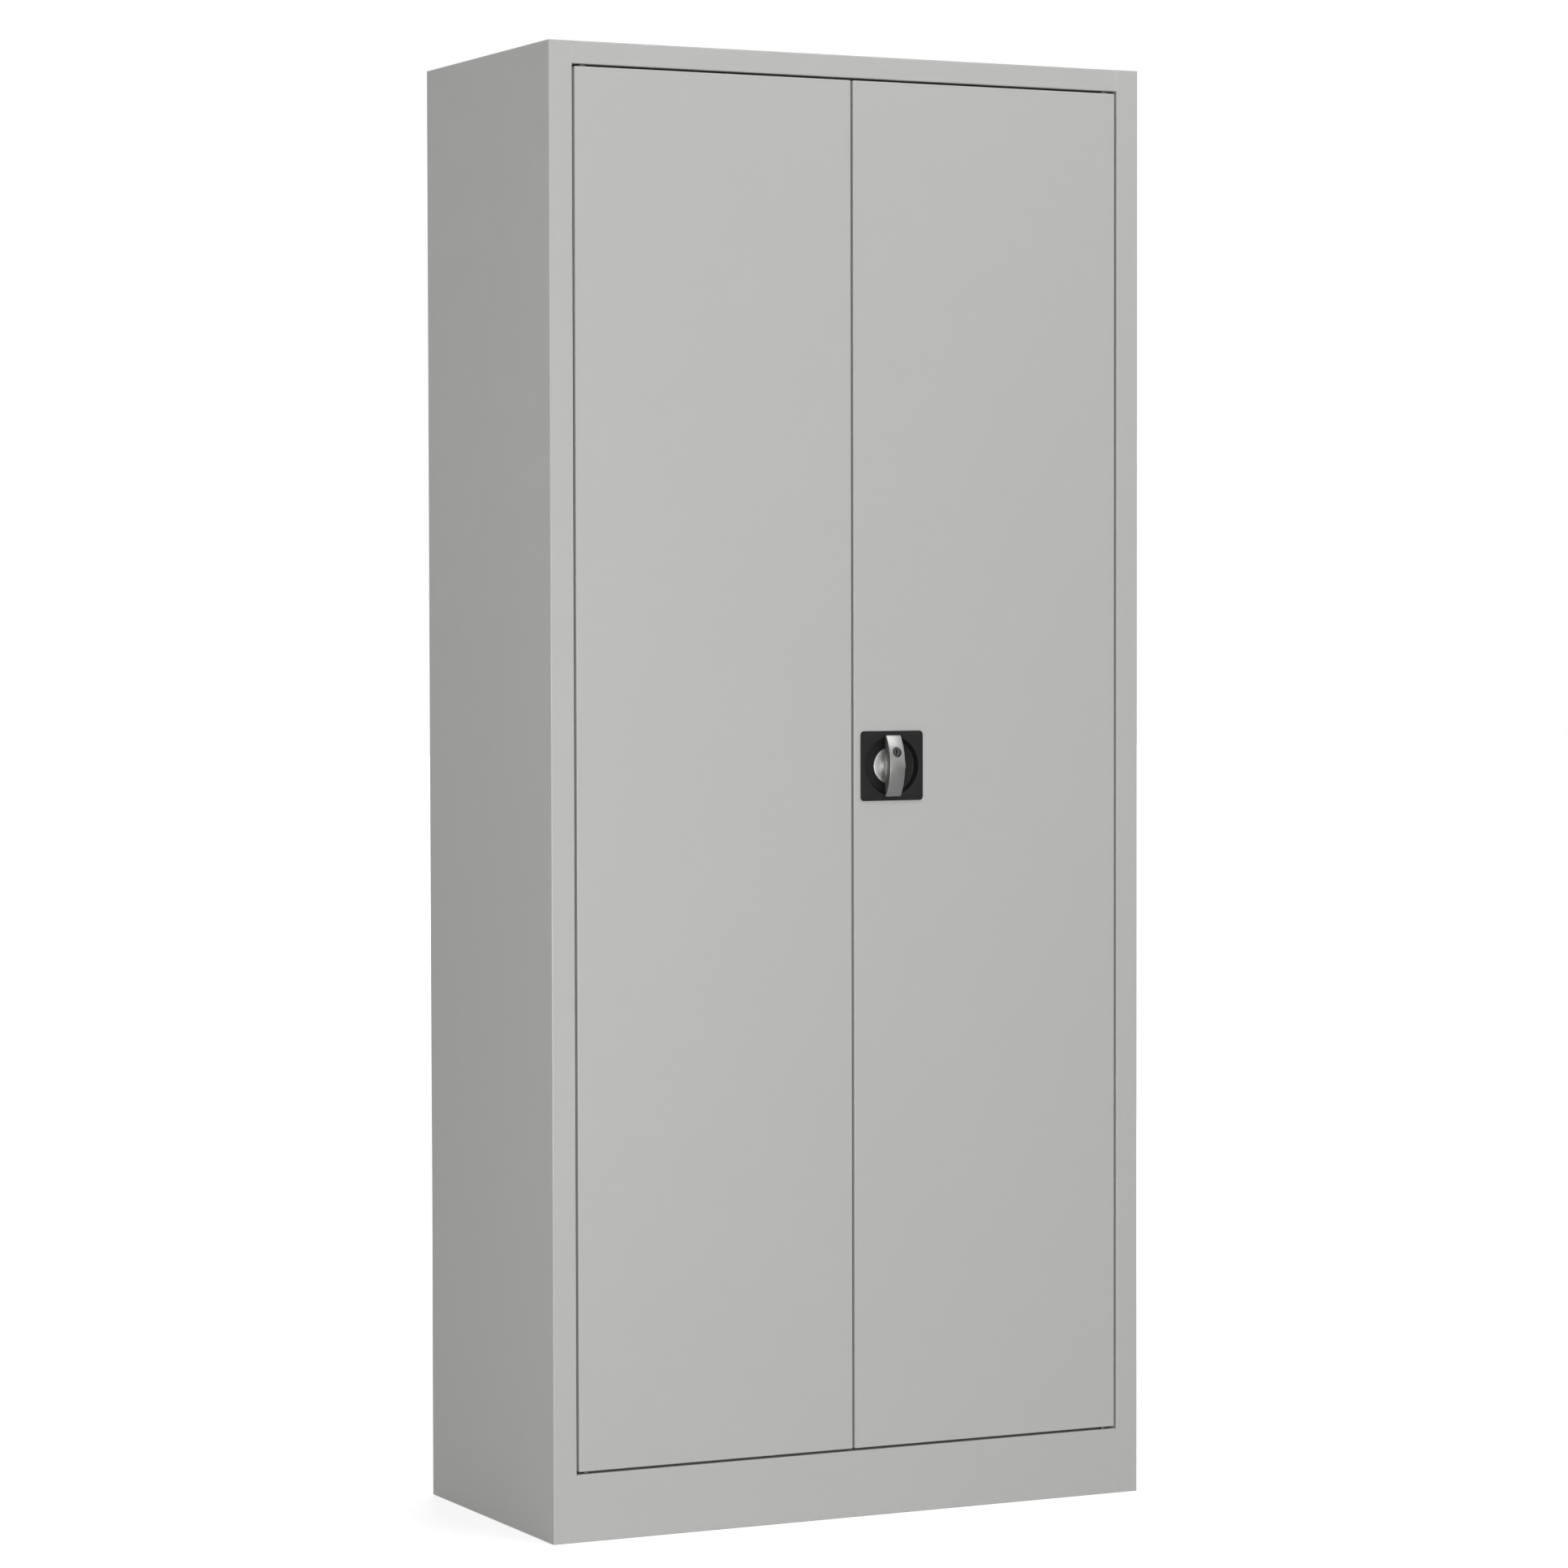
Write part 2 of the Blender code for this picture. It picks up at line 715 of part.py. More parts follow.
def bush_mesh():
    """Collared bush in the door's end flange, from its outer face inwards."""
    bore = PIN_RADIUS + FIT
    seat = SHEET + FIT
    return turned(
        "hinge_bush",
        [
            (bore, 0),
            (BUSH_RADIUS, 0),
            (BUSH_RADIUS, seat),
            (BUSH_COLLAR_RADIUS, seat),
            (BUSH_COLLAR_RADIUS, seat + BUSH_COLLAR),
            (BUSH_RADIUS, seat + BUSH_COLLAR),
            (BUSH_RADIUS, BUSH_LENGTH),
            (bore, BUSH_LENGTH),
        ],
        HINGE_STEPS,
        ring=True,
    )


def hinge(side_name, side, pin, bush, plating, nylon, carcass, door):
    """Upper and lower pivot of one door; the upper one is the lower one turned over."""
    x, y = side * PIVOT_X, behind(PIVOT_DEPTH)
    over = (2 * QUARTER_TURN, 0, 0)
    add("hinge_pin_bottom_" + side_name, pin, plating, carcass, (x, y, PLINTH_HEIGHT))
    add("hinge_pin_top_" + side_name, pin, plating, carcass, (x, y, RAIL_BOTTOM), over)
    add("hinge_bush_bottom_" + side_name, bush, nylon, door, (x, y, DOOR_BOTTOM))
    add("hinge_bush_top_" + side_name, bush, nylon, door, (x, y, DOOR_TOP), over)


def buffer_hole(holes, side, height):
    x = side * BUFFER_FROM_CENTRE
    cylinder(
        holes,
        BUFFER_STEM + FIT,
        (x, behind(REBATE - OVERRUN), height),
        (x, behind(REBATE + SHEET + OVERRUN), height),
        SMALL_ROUND_STEPS,
    )


def buffer_mesh():
    """Push-in rubber buffer about z, z 0 being the face of the stop it sits on."""
    face = REBATE - DOOR_DEPTH - FIT
    barb = -SHEET - FIT
    return turned(
        "door_buffer",
        [
            (0, face),
            (BUFFER_RADIUS - BUFFER_ROUND, face),
            (BUFFER_RADIUS, face - BUFFER_ROUND),
            (BUFFER_RADIUS, FIT),
            (BUFFER_STEM, FIT),
            (BUFFER_STEM, barb),
            (BUFFER_BARB, barb),
            (BUFFER_STEM, barb - BUFFER_BARB_LENGTH),
            (0, barb - BUFFER_BARB_LENGTH),
        ],
        SMALL_ROUND_STEPS,
    )


def door_buffers(rubber, carrier):
    mesh = buffer_mesh()
    heights = (("top", (LIP_BOTTOM + DOOR_TOP) / 2), ("bottom", (DOOR_BOTTOM + FLOOR_TOP) / 2))
    for side_name, side in (("left", -1), ("right", 1)):
        for end_name, height in heights:
            name = "_".join(("door_buffer", end_name, side_name))
            place = (side * BUFFER_FROM_CENTRE, behind(REBATE), height)
            add(name, mesh, rubber, carrier, place, (QUARTER_TURN, 0, 0))


# Doors


def door_panel(name, side, coat, carrier):
    """Pan-shaped door leaf; returns the leaf and the holes that its pivots need."""
    mesh = tray(name, DOOR_WIDTH, DOOR_HEIGHT, DOOR_DEPTH, DOOR_SIDE_LIP, DOOR_END_LIP)
    place = (side * DOOR_CENTRE, behind(0), (DOOR_BOTTOM + DOOR_TOP) / 2)
    leaf = round_folds(add(name, mesh, coat, carrier, place, (QUARTER_TURN, 0, 0)))
    holes = bmesh.new()
    x = side * (PIVOT_X - DOOR_CENTRE)
    for end in (-1, 1):
        cylinder(
            holes,
            BUSH_RADIUS + FIT,
            (x, end * (DOOR_HEIGHT / 2 + OVERRUN), -PIVOT_DEPTH),
            (x, end * (DOOR_HEIGHT / 2 - SHEET - OVERRUN), -PIVOT_DEPTH),
        )
    return leaf, holes


def door_stiffener(name, side, coat, carrier):
    """Hat channel down the middle of a door's inner face."""
    near = behind(SHEET + FIT)
    far = near + STIFFENER_DEPTH
    half = STIFFENER_WEB / 2
    low = DOOR_BOTTOM + STIFFENER_END_GAP
    offsets = (
        (half + STIFFENER_FLANGE, near),
        (half, near),
        (half, far),
        (-half, far),
        (-half, near),
        (-half - STIFFENER_FLANGE, near),
    )
    line = [(side * DOOR_CENTRE - x, y, low) for x, y in offsets]
    length = DOOR_HEIGHT - 2 * STIFFENER_END_GAP
    mesh = swept(name, line, (0, 0, length))
    return round_folds(add(name, mesh, coat, carrier))


# Lock: local x across the door, y up, z out of the front


def lock_place(depth=0, up=0):
    return (LOCK_X, behind(depth), LOCK_HEIGHT + up)


def lock_plate(plastic, carrier):
    """Square plate with a round dish, a cup behind it and a bearing neck."""
    outline = rounded_rectangle(PLATE_SIZE, PLATE_SIZE, PLATE_CORNER)
    mesh = prism("lock_plate", outline, FIT, PLATE_FRONT)
    plate = add("lock_plate", mesh, plastic, carrier, lock_place(), (QUARTER_TURN, 0, 0))
    edge = plate.modifiers.new("edge", "BEVEL")
    edge.width = PLATE_EDGE
    edge.segments = 1
    edge.limit_method = "ANGLE"
    edge.angle_limit = 2 * SHARP_ANGLE
    cup_front = (FIT + PLATE_FRONT) / 2
    cup = turned(
        "cup",
        [
            (0, -NECK_END),
            (NECK_RADIUS, -NECK_END),
            (NECK_RADIUS, -CUP_BACK),
            (CUP_RADIUS - DISH_FILLET, -CUP_BACK),
            (CUP_RADIUS, -CUP_BACK + DISH_FILLET),
            (CUP_RADIUS, cup_front),
            (0, cup_front),
        ],
        DISH_STEPS,
    )
    join(plate, cup)
    hollow = bmesh.new()
    slope = DISH_TAPER / DISH_DEPTH
    mouth = DISH_RADIUS + slope * OVERRUN
    foot = DISH_RADIUS - DISH_TAPER
    dish = turned(
        "dish",
        [
            (0, PLATE_FRONT + OVERRUN),
            (mouth, PLATE_FRONT + OVERRUN),
            (foot, -DISH_FLOOR + DISH_FILLET),
            (foot - DISH_FILLET / 2, -DISH_FLOOR + DISH_FILLET / 4),
            (foot - DISH_FILLET, -DISH_FLOOR),
            (0, -DISH_FLOOR),
        ],
        DISH_STEPS,
    )
    hollow.from_mesh(dish)
    cut(plate, hollow)
    bore = bmesh.new()
    cylinder(bore, NECK_BORE, (0, 0, -NECK_END - OVERRUN), (0, 0, PLATE_FRONT))
    return cut(plate, bore)


def bow_outline():
    """Side view of the grip as (up, out) points: arched front, flat back."""
    centre = (0, PLATE_FRONT + BOW_CROWN - BOW_ARCH_RADIUS)
    half = BOW_LENGTH / 2
    start = math.acos(half / BOW_ARCH_RADIUS)
    front = arc(centre, BOW_ARCH_RADIUS, start, math.pi - start, BOW_STEPS)
    back_plane = PLATE_FRONT + BOW_CLEARANCE
    return front + [(-half, back_plane), (half, back_plane)]


def bow_front(up):
    """How far out the grip's front lies at a height above the axis."""
    return PLATE_FRONT + BOW_CROWN - BOW_ARCH_RADIUS + math.sqrt(BOW_ARCH_RADIUS**2 - up**2)


def handle_grip(metal, carrier):
    """Cast bow on a round hub, with its journal and squared end in one."""
    hub_back = -DISH_FLOOR + FIT
    hub_front = hub_back + HUB_THICKNESS
    spindle = turned(
        "handle_grip",
        [
            (0, -NECK_END),
            (JOURNAL_RADIUS, -NECK_END),
            (JOURNAL_RADIUS, hub_back),
            (HUB_RADIUS, hub_back),
            (HUB_RADIUS, hub_front - HUB_EDGE),
            (HUB_RADIUS - HUB_EDGE, hub_front),
            (STEM_RADIUS, hub_front),
            (STEM_RADIUS, PLATE_FRONT + BOW_CROWN / 2),
            (0, PLATE_FRONT + BOW_CROWN / 2),
        ],
        DISH_STEPS,
    )
    grip = add("handle_grip", spindle, metal, carrier, lock_place(), (QUARTER_TURN, 0, 0))
    bow = smooth(prism("bow", bow_outline(), -BOW_WIDTH / 2, BOW_WIDTH / 2))
    bow.transform(Matrix(((0, 0, 1, 0), (1, 0, 0, 0), (0, 1, 0, 0), (0, 0, 0, 1))))
    join(grip, bow)
    edges = bpy.data.objects[grip.name + "_bow"].modifiers.new("edges", "BEVEL")
    edges.width = BOW_ROUND
    edges.segments = BEND_SEGMENTS
    edges.limit_method = "ANGLE"
    edges.angle_limit = SHARP_ANGLE
    square = prism("square", square_outline(0), -CRANK_BACK, -NECK_END + OVERRUN)
    join(grip, square)
    holes = bmesh.new()
    cylinder(
        holes,
        CYLINDER_RADIUS + FIT,
        (0, CYLINDER_UP, PLATE_FRONT),
        (0, CYLINDER_UP, PLATE_FRONT + BOW_CROWN + OVERRUN),
    )
    cylinder(
        holes,
        SCREW_HOLE_RADIUS,
        (0, 0, -CRANK_BACK - OVERRUN),
        (0, 0, -CRANK_BACK + SCREW_HOLE_DEPTH),
        SMALL_ROUND_STEPS,
    )
    return cut(grip, holes)


def square_outline(play):
    half = SQUARE_SIZE / 2 + play
    return [(-half, -half), (half, -half), (half, half), (-half, half)]


def lock_cylinder(metal, carrier):
    """Key cylinder in the bow, with its keyway."""
    front = bow_front(CYLINDER_UP) - CYLINDER_RECESS
    back = front - CYLINDER_LENGTH
    mesh = turned(
        "lock_cylinder",
        [
            (0, back),
            (CYLINDER_RADIUS, back),
            (CYLINDER_RADIUS, front - FIT),
            (CYLINDER_RADIUS - FIT, front),
            (0, front),
        ],
    )
    place = lock_place(up=CYLINDER_UP)
    plug = add("lock_cylinder", mesh, metal, carrier, place, (QUARTER_TURN, 0, 0))
    keyway = bmesh.new()
    box(
        keyway,
        (-KEYWAY_WIDTH / 2, -KEYWAY_HEIGHT / 2, front - KEYWAY_DEPTH),
        (KEYWAY_WIDTH / 2, KEYWAY_HEIGHT / 2, front + OVERRUN),
    )
    return cut(plug, keyway)


def lock_bridge(plating, carrier):
    """Strap over the cup's back that clamps the plate to the door."""
    foot_plane = -SHEET - FIT
    crown_plane = -CUP_BACK - FIT
    leg = CUP_RADIUS + DISH_FILLET
    end = leg + BRIDGE_FOOT
    left = -BRIDGE_WIDTH / 2
    line = [
        (left, end, foot_plane),
        (left, leg, foot_plane),
        (left, leg, crown_plane),
        (left, -leg, crown_plane),
        (left, -leg, foot_plane),
        (left, -end, foot_plane),
    ]
    mesh = swept("lock_bridge", line, (BRIDGE_WIDTH, 0, 0))
    strap = add("lock_bridge", mesh, plating, carrier, lock_place(), (QUARTER_TURN, 0, 0))
    round_folds(strap, BRIDGE_PLATE)
    hole = bmesh.new()
    cylinder(
        hole,
        NECK_RADIUS + FIT,
        (0, 0, crown_plane + OVERRUN),
        (0, 0, crown_plane - BRIDGE_PLATE - OVERRUN),
    )
    return cut(strap, hole)


def ring_nut(plating, carrier):
    """Hexagon nut on the plate's neck."""
    low = -CUP_BACK - 2 * FIT - BRIDGE_PLATE
    radius = NUT_ACROSS / 2 / math.cos(QUARTER_TURN / 3)
    outline = arc((0, 0), radius, 0, 4 * QUARTER_TURN * 5 / 6, 5)
    mesh = prism("ring_nut", outline, low - NUT_THICKNESS, low)
    nut = add("ring_nut", mesh, plating, carrier, lock_place(), (QUARTER_TURN, 0, 0))
    hole = bmesh.new()
    cylinder(hole, NECK_RADIUS + FIT, (0, 0, low + OVERRUN), (0, 0, low - NUT_THICKNESS - OVERRUN))
    return cut(nut, hole)


def square_hole(obj, low, high):
    cutter = bmesh.new()
    cutter.from_mesh(prism(obj.name + "_square", square_outline(FIT), low - OVERRUN, high + OVERRUN))
    return cut(obj, cutter)


def latch_tongue(plating, carrier):
    """Middle latch: a bar that turns behind the other door."""
    low = -TONGUE_START - TONGUE_THICKNESS
    outline = link_outline(TONGUE_EYE_RADIUS, TONGUE_TIP_RADIUS, TONGUE_REACH)
    mesh = prism("latch_tongue", outline, low, -TONGUE_START)
    bar = add("latch_tongue", mesh, plating, carrier, lock_place(), (QUARTER_TURN, 0, 0))
    return square_hole(bar, low, -TONGUE_START)


def crank_disc(plating, carrier):
    """Disc with two pins that drive the rods opposite ways."""
    mesh = turned(
        "crank_disc",
        [
            (0, -CRANK_BACK),
            (CRANK_RADIUS + CRANK_RIM, -CRANK_BACK),
            (CRANK_RADIUS + CRANK_RIM, -CRANK_START_DEPTH),
            (0, -CRANK_START_DEPTH),
        ],
    )
    disc = add("crank_disc", mesh, plating, carrier, lock_place(), (QUARTER_TURN, 0, 0))
    pins = bmesh.new()
    for angle in (CRANK_START, CRANK_START + 2 * QUARTER_TURN):
        x = CRANK_RADIUS * math.cos(angle)
        y = CRANK_RADIUS * math.sin(angle)
        cylinder(
            pins,
            CRANK_PIN_RADIUS,
            (x, y, -CRANK_BACK - CRANK_PIN_LENGTH),
            (x, y, -CRANK_BACK + CRANK_THICKNESS / 2),
            SMALL_ROUND_STEPS,
        )
    join(disc, mesh_from(pins, "pins"))
    return square_hole(disc, -CRANK_BACK, -CRANK_START_DEPTH)


def spindle_screw(plating, carrier):
    """Screw that holds crank and tongue on the squared end."""
    seat = -CRANK_BACK - FIT
    mesh = turned(
        "spindle_screw",
        [
            (0, seat - SCREW_HEAD),
            (SCREW_HEAD_RADIUS - FIT, seat - SCREW_HEAD),
            (SCREW_HEAD_RADIUS, seat - SCREW_HEAD + FIT),
            (SCREW_HEAD_RADIUS, seat),
            (SCREW_RADIUS, seat),
            (SCREW_RADIUS, seat + SCREW_LENGTH),
            (0, seat + SCREW_LENGTH),
        ],
        SMALL_ROUND_STEPS,
    )
    return add("spindle_screw", mesh, plating, carrier, lock_place(), (QUARTER_TURN, 0, 0))


# Rods


def rod_x(way):
    return LOCK_X + way * ROD_OFFSET


def lock_rod(name, way, plating, carrier):
    """Flat bar from a crank pin to one end of the door, with a cross slot for the pin."""
    pin_height = way * CRANK_RADIUS * math.sin(CRANK_START)
    half_slot = CRANK_PIN_RADIUS + PIN_RISE_PLAY
    near = pin_height - way * (half_slot + ROD_END)
    tip_height = LIP_BOTTOM - ROD_TIP_CLEARANCE if way > 0 else FLOOR_TOP + ROD_TIP_CLEARANCE
    tip = tip_height - LOCK_HEIGHT
    half = ROD_WIDTH / 2
    outline = [
        (-half, near),
        (half, near),
        (half, tip - way * ROD_TIP_CHAMFER),
        (half - ROD_TIP_CHAMFER, tip),
        (-half + ROD_TIP_CHAMFER, tip),
        (-half, tip - way * ROD_TIP_CHAMFER),
    ]
    mesh = prism(name, outline, -ROD_THICKNESS / 2, ROD_THICKNESS / 2)
    place = (rod_x(way), behind(ROD_CENTRE), LOCK_HEIGHT)
    bar = add(name, mesh, plating, carrier, place, (QUARTER_TURN, 0, 0))
    half_length = CRANK_RADIUS - ROD_OFFSET + CRANK_PIN_RADIUS + PIN_SIDE_PLAY
    slot = bmesh.new()
    box(
        slot,
        (-half_length, pin_height - half_slot, -ROD_THICKNESS),
        (half_length, pin_height + half_slot, ROD_THICKNESS),
    )
    return cut(bar, slot)


def rod_guide(name, way, nylon, carrier):
    """Moulded guide on the door's end lip, with a window for the rod."""
    front = -DOOR_DEPTH - FIT
    back = -ROD_START - ROD_THICKNESS - GUIDE_PLAY - GUIDE_BACK
    width = ROD_WIDTH + 2 * GUIDE_PLAY + 2 * GUIDE_WALL
    inner = LIP_BOTTOM - GUIDE_CLEARANCE if way > 0 else FLOOR_TOP + GUIDE_CLEARANCE
    middle = inner - way * GUIDE_HEIGHT / 2
    rounded = rounded_rectangle(width, front - back, GUIDE_CORNER)
    outline = [(x, z + (front + back) / 2) for x, z in rounded]
    mesh = prism(name, outline, -GUIDE_HEIGHT / 2, GUIDE_HEIGHT / 2)
    mesh.transform(Matrix(((1, 0, 0, 0), (0, -1, 0, 0), (0, 0, -1, 0), (0, 0, 0, 1))))
    block = add(name, mesh, nylon, carrier, (rod_x(way), behind(0), middle))
    window = bmesh.new()
    half = ROD_WIDTH / 2 + GUIDE_PLAY
    box(
        window,
        (-half, ROD_START - GUIDE_PLAY, -GUIDE_HEIGHT),
        (half, ROD_START + ROD_THICKNESS + GUIDE_PLAY, GUIDE_HEIGHT),
    )
    return cut(block, window)


# Assembly


def build_carcass(coat, plating, rubber):
    carcass = frame("carcass", (0, 0, 0))
    side_panel("side_panel_left", -1, coat, carcass)
    side_panel("side_panel_right", 1, coat, carcass)
    back_panel(coat, carcass)
    top_panel(coat, carcass)
    floor_panel(coat, carcass)
    plinth_front(coat, carcass)
    for depth_name, depth in (("front", FRONT_UPRIGHT), ("rear", REAR_UPRIGHT)):
        for side_name, side in (("left", -1), ("right", 1)):
            name = "_".join(("shelf_upright", depth_name, side_name))
            shelf_upright(name, side, depth, coat, carcass)
    clip = clip_mesh()
    for number in range(1, SHELF_COUNT + 1):
        shelf(number, coat, carcass)
        shelf_clips(number, clip, plating, carcass)
    door_buffers(rubber, carcass)
    return carcass


def build_doors(coat, plating, nylon, carcass):
    pin = pin_mesh()
    bush = bush_mesh()
    doors = []
    for side_name, side in (("left", -1), ("right", 1)):
        pivot = (side * PIVOT_X, behind(PIVOT_DEPTH), DOOR_BOTTOM)
        axis = frame("door_" + side_name + "_axis", pivot, carcass)
        leaf, holes = door_panel("door_panel_" + side_name, side, coat, axis)
        if side > 0:
            centre = (LOCK_X - DOOR_CENTRE, LOCK_HEIGHT - (DOOR_BOTTOM + DOOR_TOP) / 2)
            cylinder(
                holes, CUP_RADIUS + FIT, (*centre, OVERRUN), (*centre, -SHEET - OVERRUN), DISH_STEPS
            )
        cut(leaf, holes)
        door_stiffener("door_stiffener_" + side_name, side, coat, axis)
        hinge(side_name, side, pin, bush, plating, nylon, carcass, axis)
        doors.append(axis)
    return doors


def build_lock(plastic, metal, plating, nylon, door):
    lock_plate(plastic, door)
    lock_bridge(plating, door)
    ring_nut(plating, door)
    handle = frame("handle_axis", lock_place(), door)
    handle_grip(metal, handle)
    crank_disc(plating, handle)
    latch_tongue(plating, handle)
    spindle_screw(plating, handle)
    key = frame("key_axis", lock_place(up=CYLINDER_UP), handle)
    lock_cylinder(finish("cylinder_steel", (0.14, 0.14, 0.14), 0.4, 1), key)
    for end_name, way in (("top", 1), ("bottom", -1)):
        rod_guide("rod_guide_" + end_name, way, nylon, door)
        place = (rod_x(way), behind(ROD_CENTRE), LOCK_HEIGHT)
        slider = frame("rod_" + end_name + "_axis", place, door)
        lock_rod("rod_" + end_name, way, plating, slider)


def main():
    clear_scene()
    coat = grey_coating("grey_coating")
    plating = zinc_plate("zinc_plate")
    nylon = white_nylon("white_nylon")
    carcass = build_carcass(coat, plating, soft_rubber("soft_rubber"))
    _, right_door = build_doors(coat, plating, nylon, carcass)
    build_lock(black_plastic("black_plastic"), cast_metal("cast_metal"), plating, nylon, right_door)


main()
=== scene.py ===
import json
import math

import bmesh
import bpy
from mathutils import Matrix, Vector

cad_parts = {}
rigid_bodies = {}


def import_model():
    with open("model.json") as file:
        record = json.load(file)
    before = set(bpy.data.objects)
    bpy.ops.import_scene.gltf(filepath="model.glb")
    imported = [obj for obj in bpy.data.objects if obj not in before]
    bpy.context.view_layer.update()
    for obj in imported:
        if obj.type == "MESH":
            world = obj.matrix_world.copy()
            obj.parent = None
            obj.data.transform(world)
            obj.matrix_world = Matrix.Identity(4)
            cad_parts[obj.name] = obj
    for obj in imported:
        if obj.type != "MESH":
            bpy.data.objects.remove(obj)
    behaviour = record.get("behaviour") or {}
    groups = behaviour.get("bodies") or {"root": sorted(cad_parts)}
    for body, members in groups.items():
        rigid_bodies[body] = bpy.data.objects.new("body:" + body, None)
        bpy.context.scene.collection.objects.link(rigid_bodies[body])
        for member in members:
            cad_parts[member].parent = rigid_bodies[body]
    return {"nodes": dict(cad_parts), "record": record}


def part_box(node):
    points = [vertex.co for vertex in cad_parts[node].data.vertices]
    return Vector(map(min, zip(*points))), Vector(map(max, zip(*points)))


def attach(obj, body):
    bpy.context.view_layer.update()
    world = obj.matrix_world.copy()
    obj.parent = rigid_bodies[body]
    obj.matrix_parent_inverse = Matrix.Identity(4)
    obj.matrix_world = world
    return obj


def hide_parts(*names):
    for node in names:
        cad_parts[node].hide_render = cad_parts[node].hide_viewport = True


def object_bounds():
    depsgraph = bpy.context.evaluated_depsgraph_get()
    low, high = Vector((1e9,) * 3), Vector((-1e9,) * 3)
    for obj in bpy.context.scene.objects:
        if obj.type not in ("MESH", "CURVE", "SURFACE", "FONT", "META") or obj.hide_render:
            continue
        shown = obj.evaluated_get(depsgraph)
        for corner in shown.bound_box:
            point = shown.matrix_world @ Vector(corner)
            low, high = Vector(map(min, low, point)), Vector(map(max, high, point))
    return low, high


for startObject in list(bpy.data.objects):
    bpy.data.objects.remove(startObject)
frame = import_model()
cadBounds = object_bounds()
cadNodes = frame["nodes"]
slotOf = {part["node"]: part["material_slot"] for part in frame["record"]["subparts"]}
mm = 0.001
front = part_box("door_panel_right")[0].y  # plane of the doors' front faces


# Small node helpers

def wire(tree, source, target):
    tree.links.new(source, target)


def feed(tree, socket, value):
    # a socket takes either another node's output or a plain value
    if isinstance(value, bpy.types.NodeSocket):
        wire(tree, value, socket)
    else:
        socket.default_value = value


def mathNode(tree, operation, first, second=0.0, third=0.0):
    node = tree.nodes.new("ShaderNodeMath")
    node.operation = operation
    for socket, value in zip(node.inputs, (first, second, third)):
        feed(tree, socket, value)
    return node.outputs[0]


def mapRange(tree, value, fromLow, fromHigh, toLow=0.0, toHigh=1.0):
    node = tree.nodes.new("ShaderNodeMapRange")
    names = ("Value", "From Min", "From Max", "To Min", "To Max")
    for name, amount in zip(names, (value, fromLow, fromHigh, toLow, toHigh)):
        feed(tree, node.inputs[name], amount)
    return node.outputs[0]


def vectorNode(tree, operation, *values):
    node = tree.nodes.new("ShaderNodeVectorMath")
    node.operation = operation
    for socket, value in zip(node.inputs, values):
        feed(tree, socket, value)
    return node


def axisOf(tree, vector, letter):
    node = tree.nodes.new("ShaderNodeSeparateXYZ")
    wire(tree, vector, node.inputs[0])
    return node.outputs[letter]


def noise(tree, vector, scale, detail=2.0, roughness=0.5):
    node = tree.nodes.new("ShaderNodeTexNoise")
    node.inputs["Detail"].default_value = detail
    node.inputs["Roughness"].default_value = roughness
    wire(tree, vector, node.inputs["Vector"])
    feed(tree, node.inputs["Scale"], scale)
    return node.outputs["Fac"]


def aroundOne(tree, field, amount):
    # a field from 0 to 1 becomes a factor that swings around 1
    return mathNode(tree, "MULTIPLY_ADD", mathNode(tree, "SUBTRACT", field, 0.5), amount, 1.0)


def nodeGroup(name, treeKind, inputs, output):
    # every input and the output is a pair of name and kind
    group = bpy.data.node_groups.new(name, treeKind)
    for way, sockets in (("INPUT", inputs), ("OUTPUT", [output])):
        for label, kind in sockets:
            group.interface.new_socket(label, in_out=way, socket_type="NodeSocket" + kind)
    given = group.nodes.new("NodeGroupInput").outputs
    return group, given, group.nodes.new("NodeGroupOutput").inputs[0]


def spaced(label):
    # barWidth and BarWidth both name the socket "Bar Width"
    words = "".join(" " + c if c.isupper() else c for c in label).strip()
    return words[0].upper() + words[1:]


# Surface effects that several finishes share

def effectGroup(name, inputs, output):
    return nodeGroup(name, "ShaderNodeTree", [("Vector", "Vector"), *inputs], (output, "Float"))


def cloudEffect():
    # slow, faint changes over a surface, around 1
    inputs = [("Size", "Float"), ("Amount", "Float")]
    group, given, result = effectGroup("clouds", inputs, "Tone")
    scale = mathNode(group, "DIVIDE", 1.0, given["Size"])
    field = noise(group, given["Vector"], scale, detail=3.0, roughness=0.55)
    wire(group, aroundOne(group, field, given["Amount"]), result)
    return group


def grainEffect():
    # fine relief: the orange peel of a powder coat, the pebble of moulded plastic
    inputs = [("Size", "Float"), ("Fine Share", "Float")]
    group, given, result = effectGroup("grain", inputs, "Height")
    scale = mathNode(group, "DIVIDE", 1.0, given["Size"])
    fineScale = mathNode(group, "MULTIPLY", scale, 3.7)
    coarse = noise(group, given["Vector"], scale)
    fine = noise(group, given["Vector"], fineScale, roughness=0.6)
    wire(group, mathNode(group, "MULTIPLY_ADD", fine, given["Fine Share"], coarse), result)
    return group


def edgeEffect():
    # 1 on a fold or rim and 0 on flats, broken up so that it never reads as a drawn line
    inputs = [("Radius", "Float"), ("Break Up", "Float")]
    group, given, result = effectGroup("edges", inputs, "Mask")
    bevel = group.nodes.new("ShaderNodeBevel")
    bevel.samples = 4
    wire(group, given["Radius"], bevel.inputs["Radius"])
    facing = group.nodes.new("ShaderNodeNewGeometry").outputs["True Normal"]
    dot = vectorNode(group, "DOT_PRODUCT", bevel.outputs["Normal"], facing)
    turned = mapRange(group, dot.outputs["Value"], 0.99, 0.80)  # from 8 to 37 degrees off the face
    field = noise(group, given["Vector"], scale=60.0, detail=3.0, roughness=0.6)
    patches = aroundOne(group, field, given["Break Up"])
    wire(group, mathNode(group, "MULTIPLY", turned, patches), result)
    return group


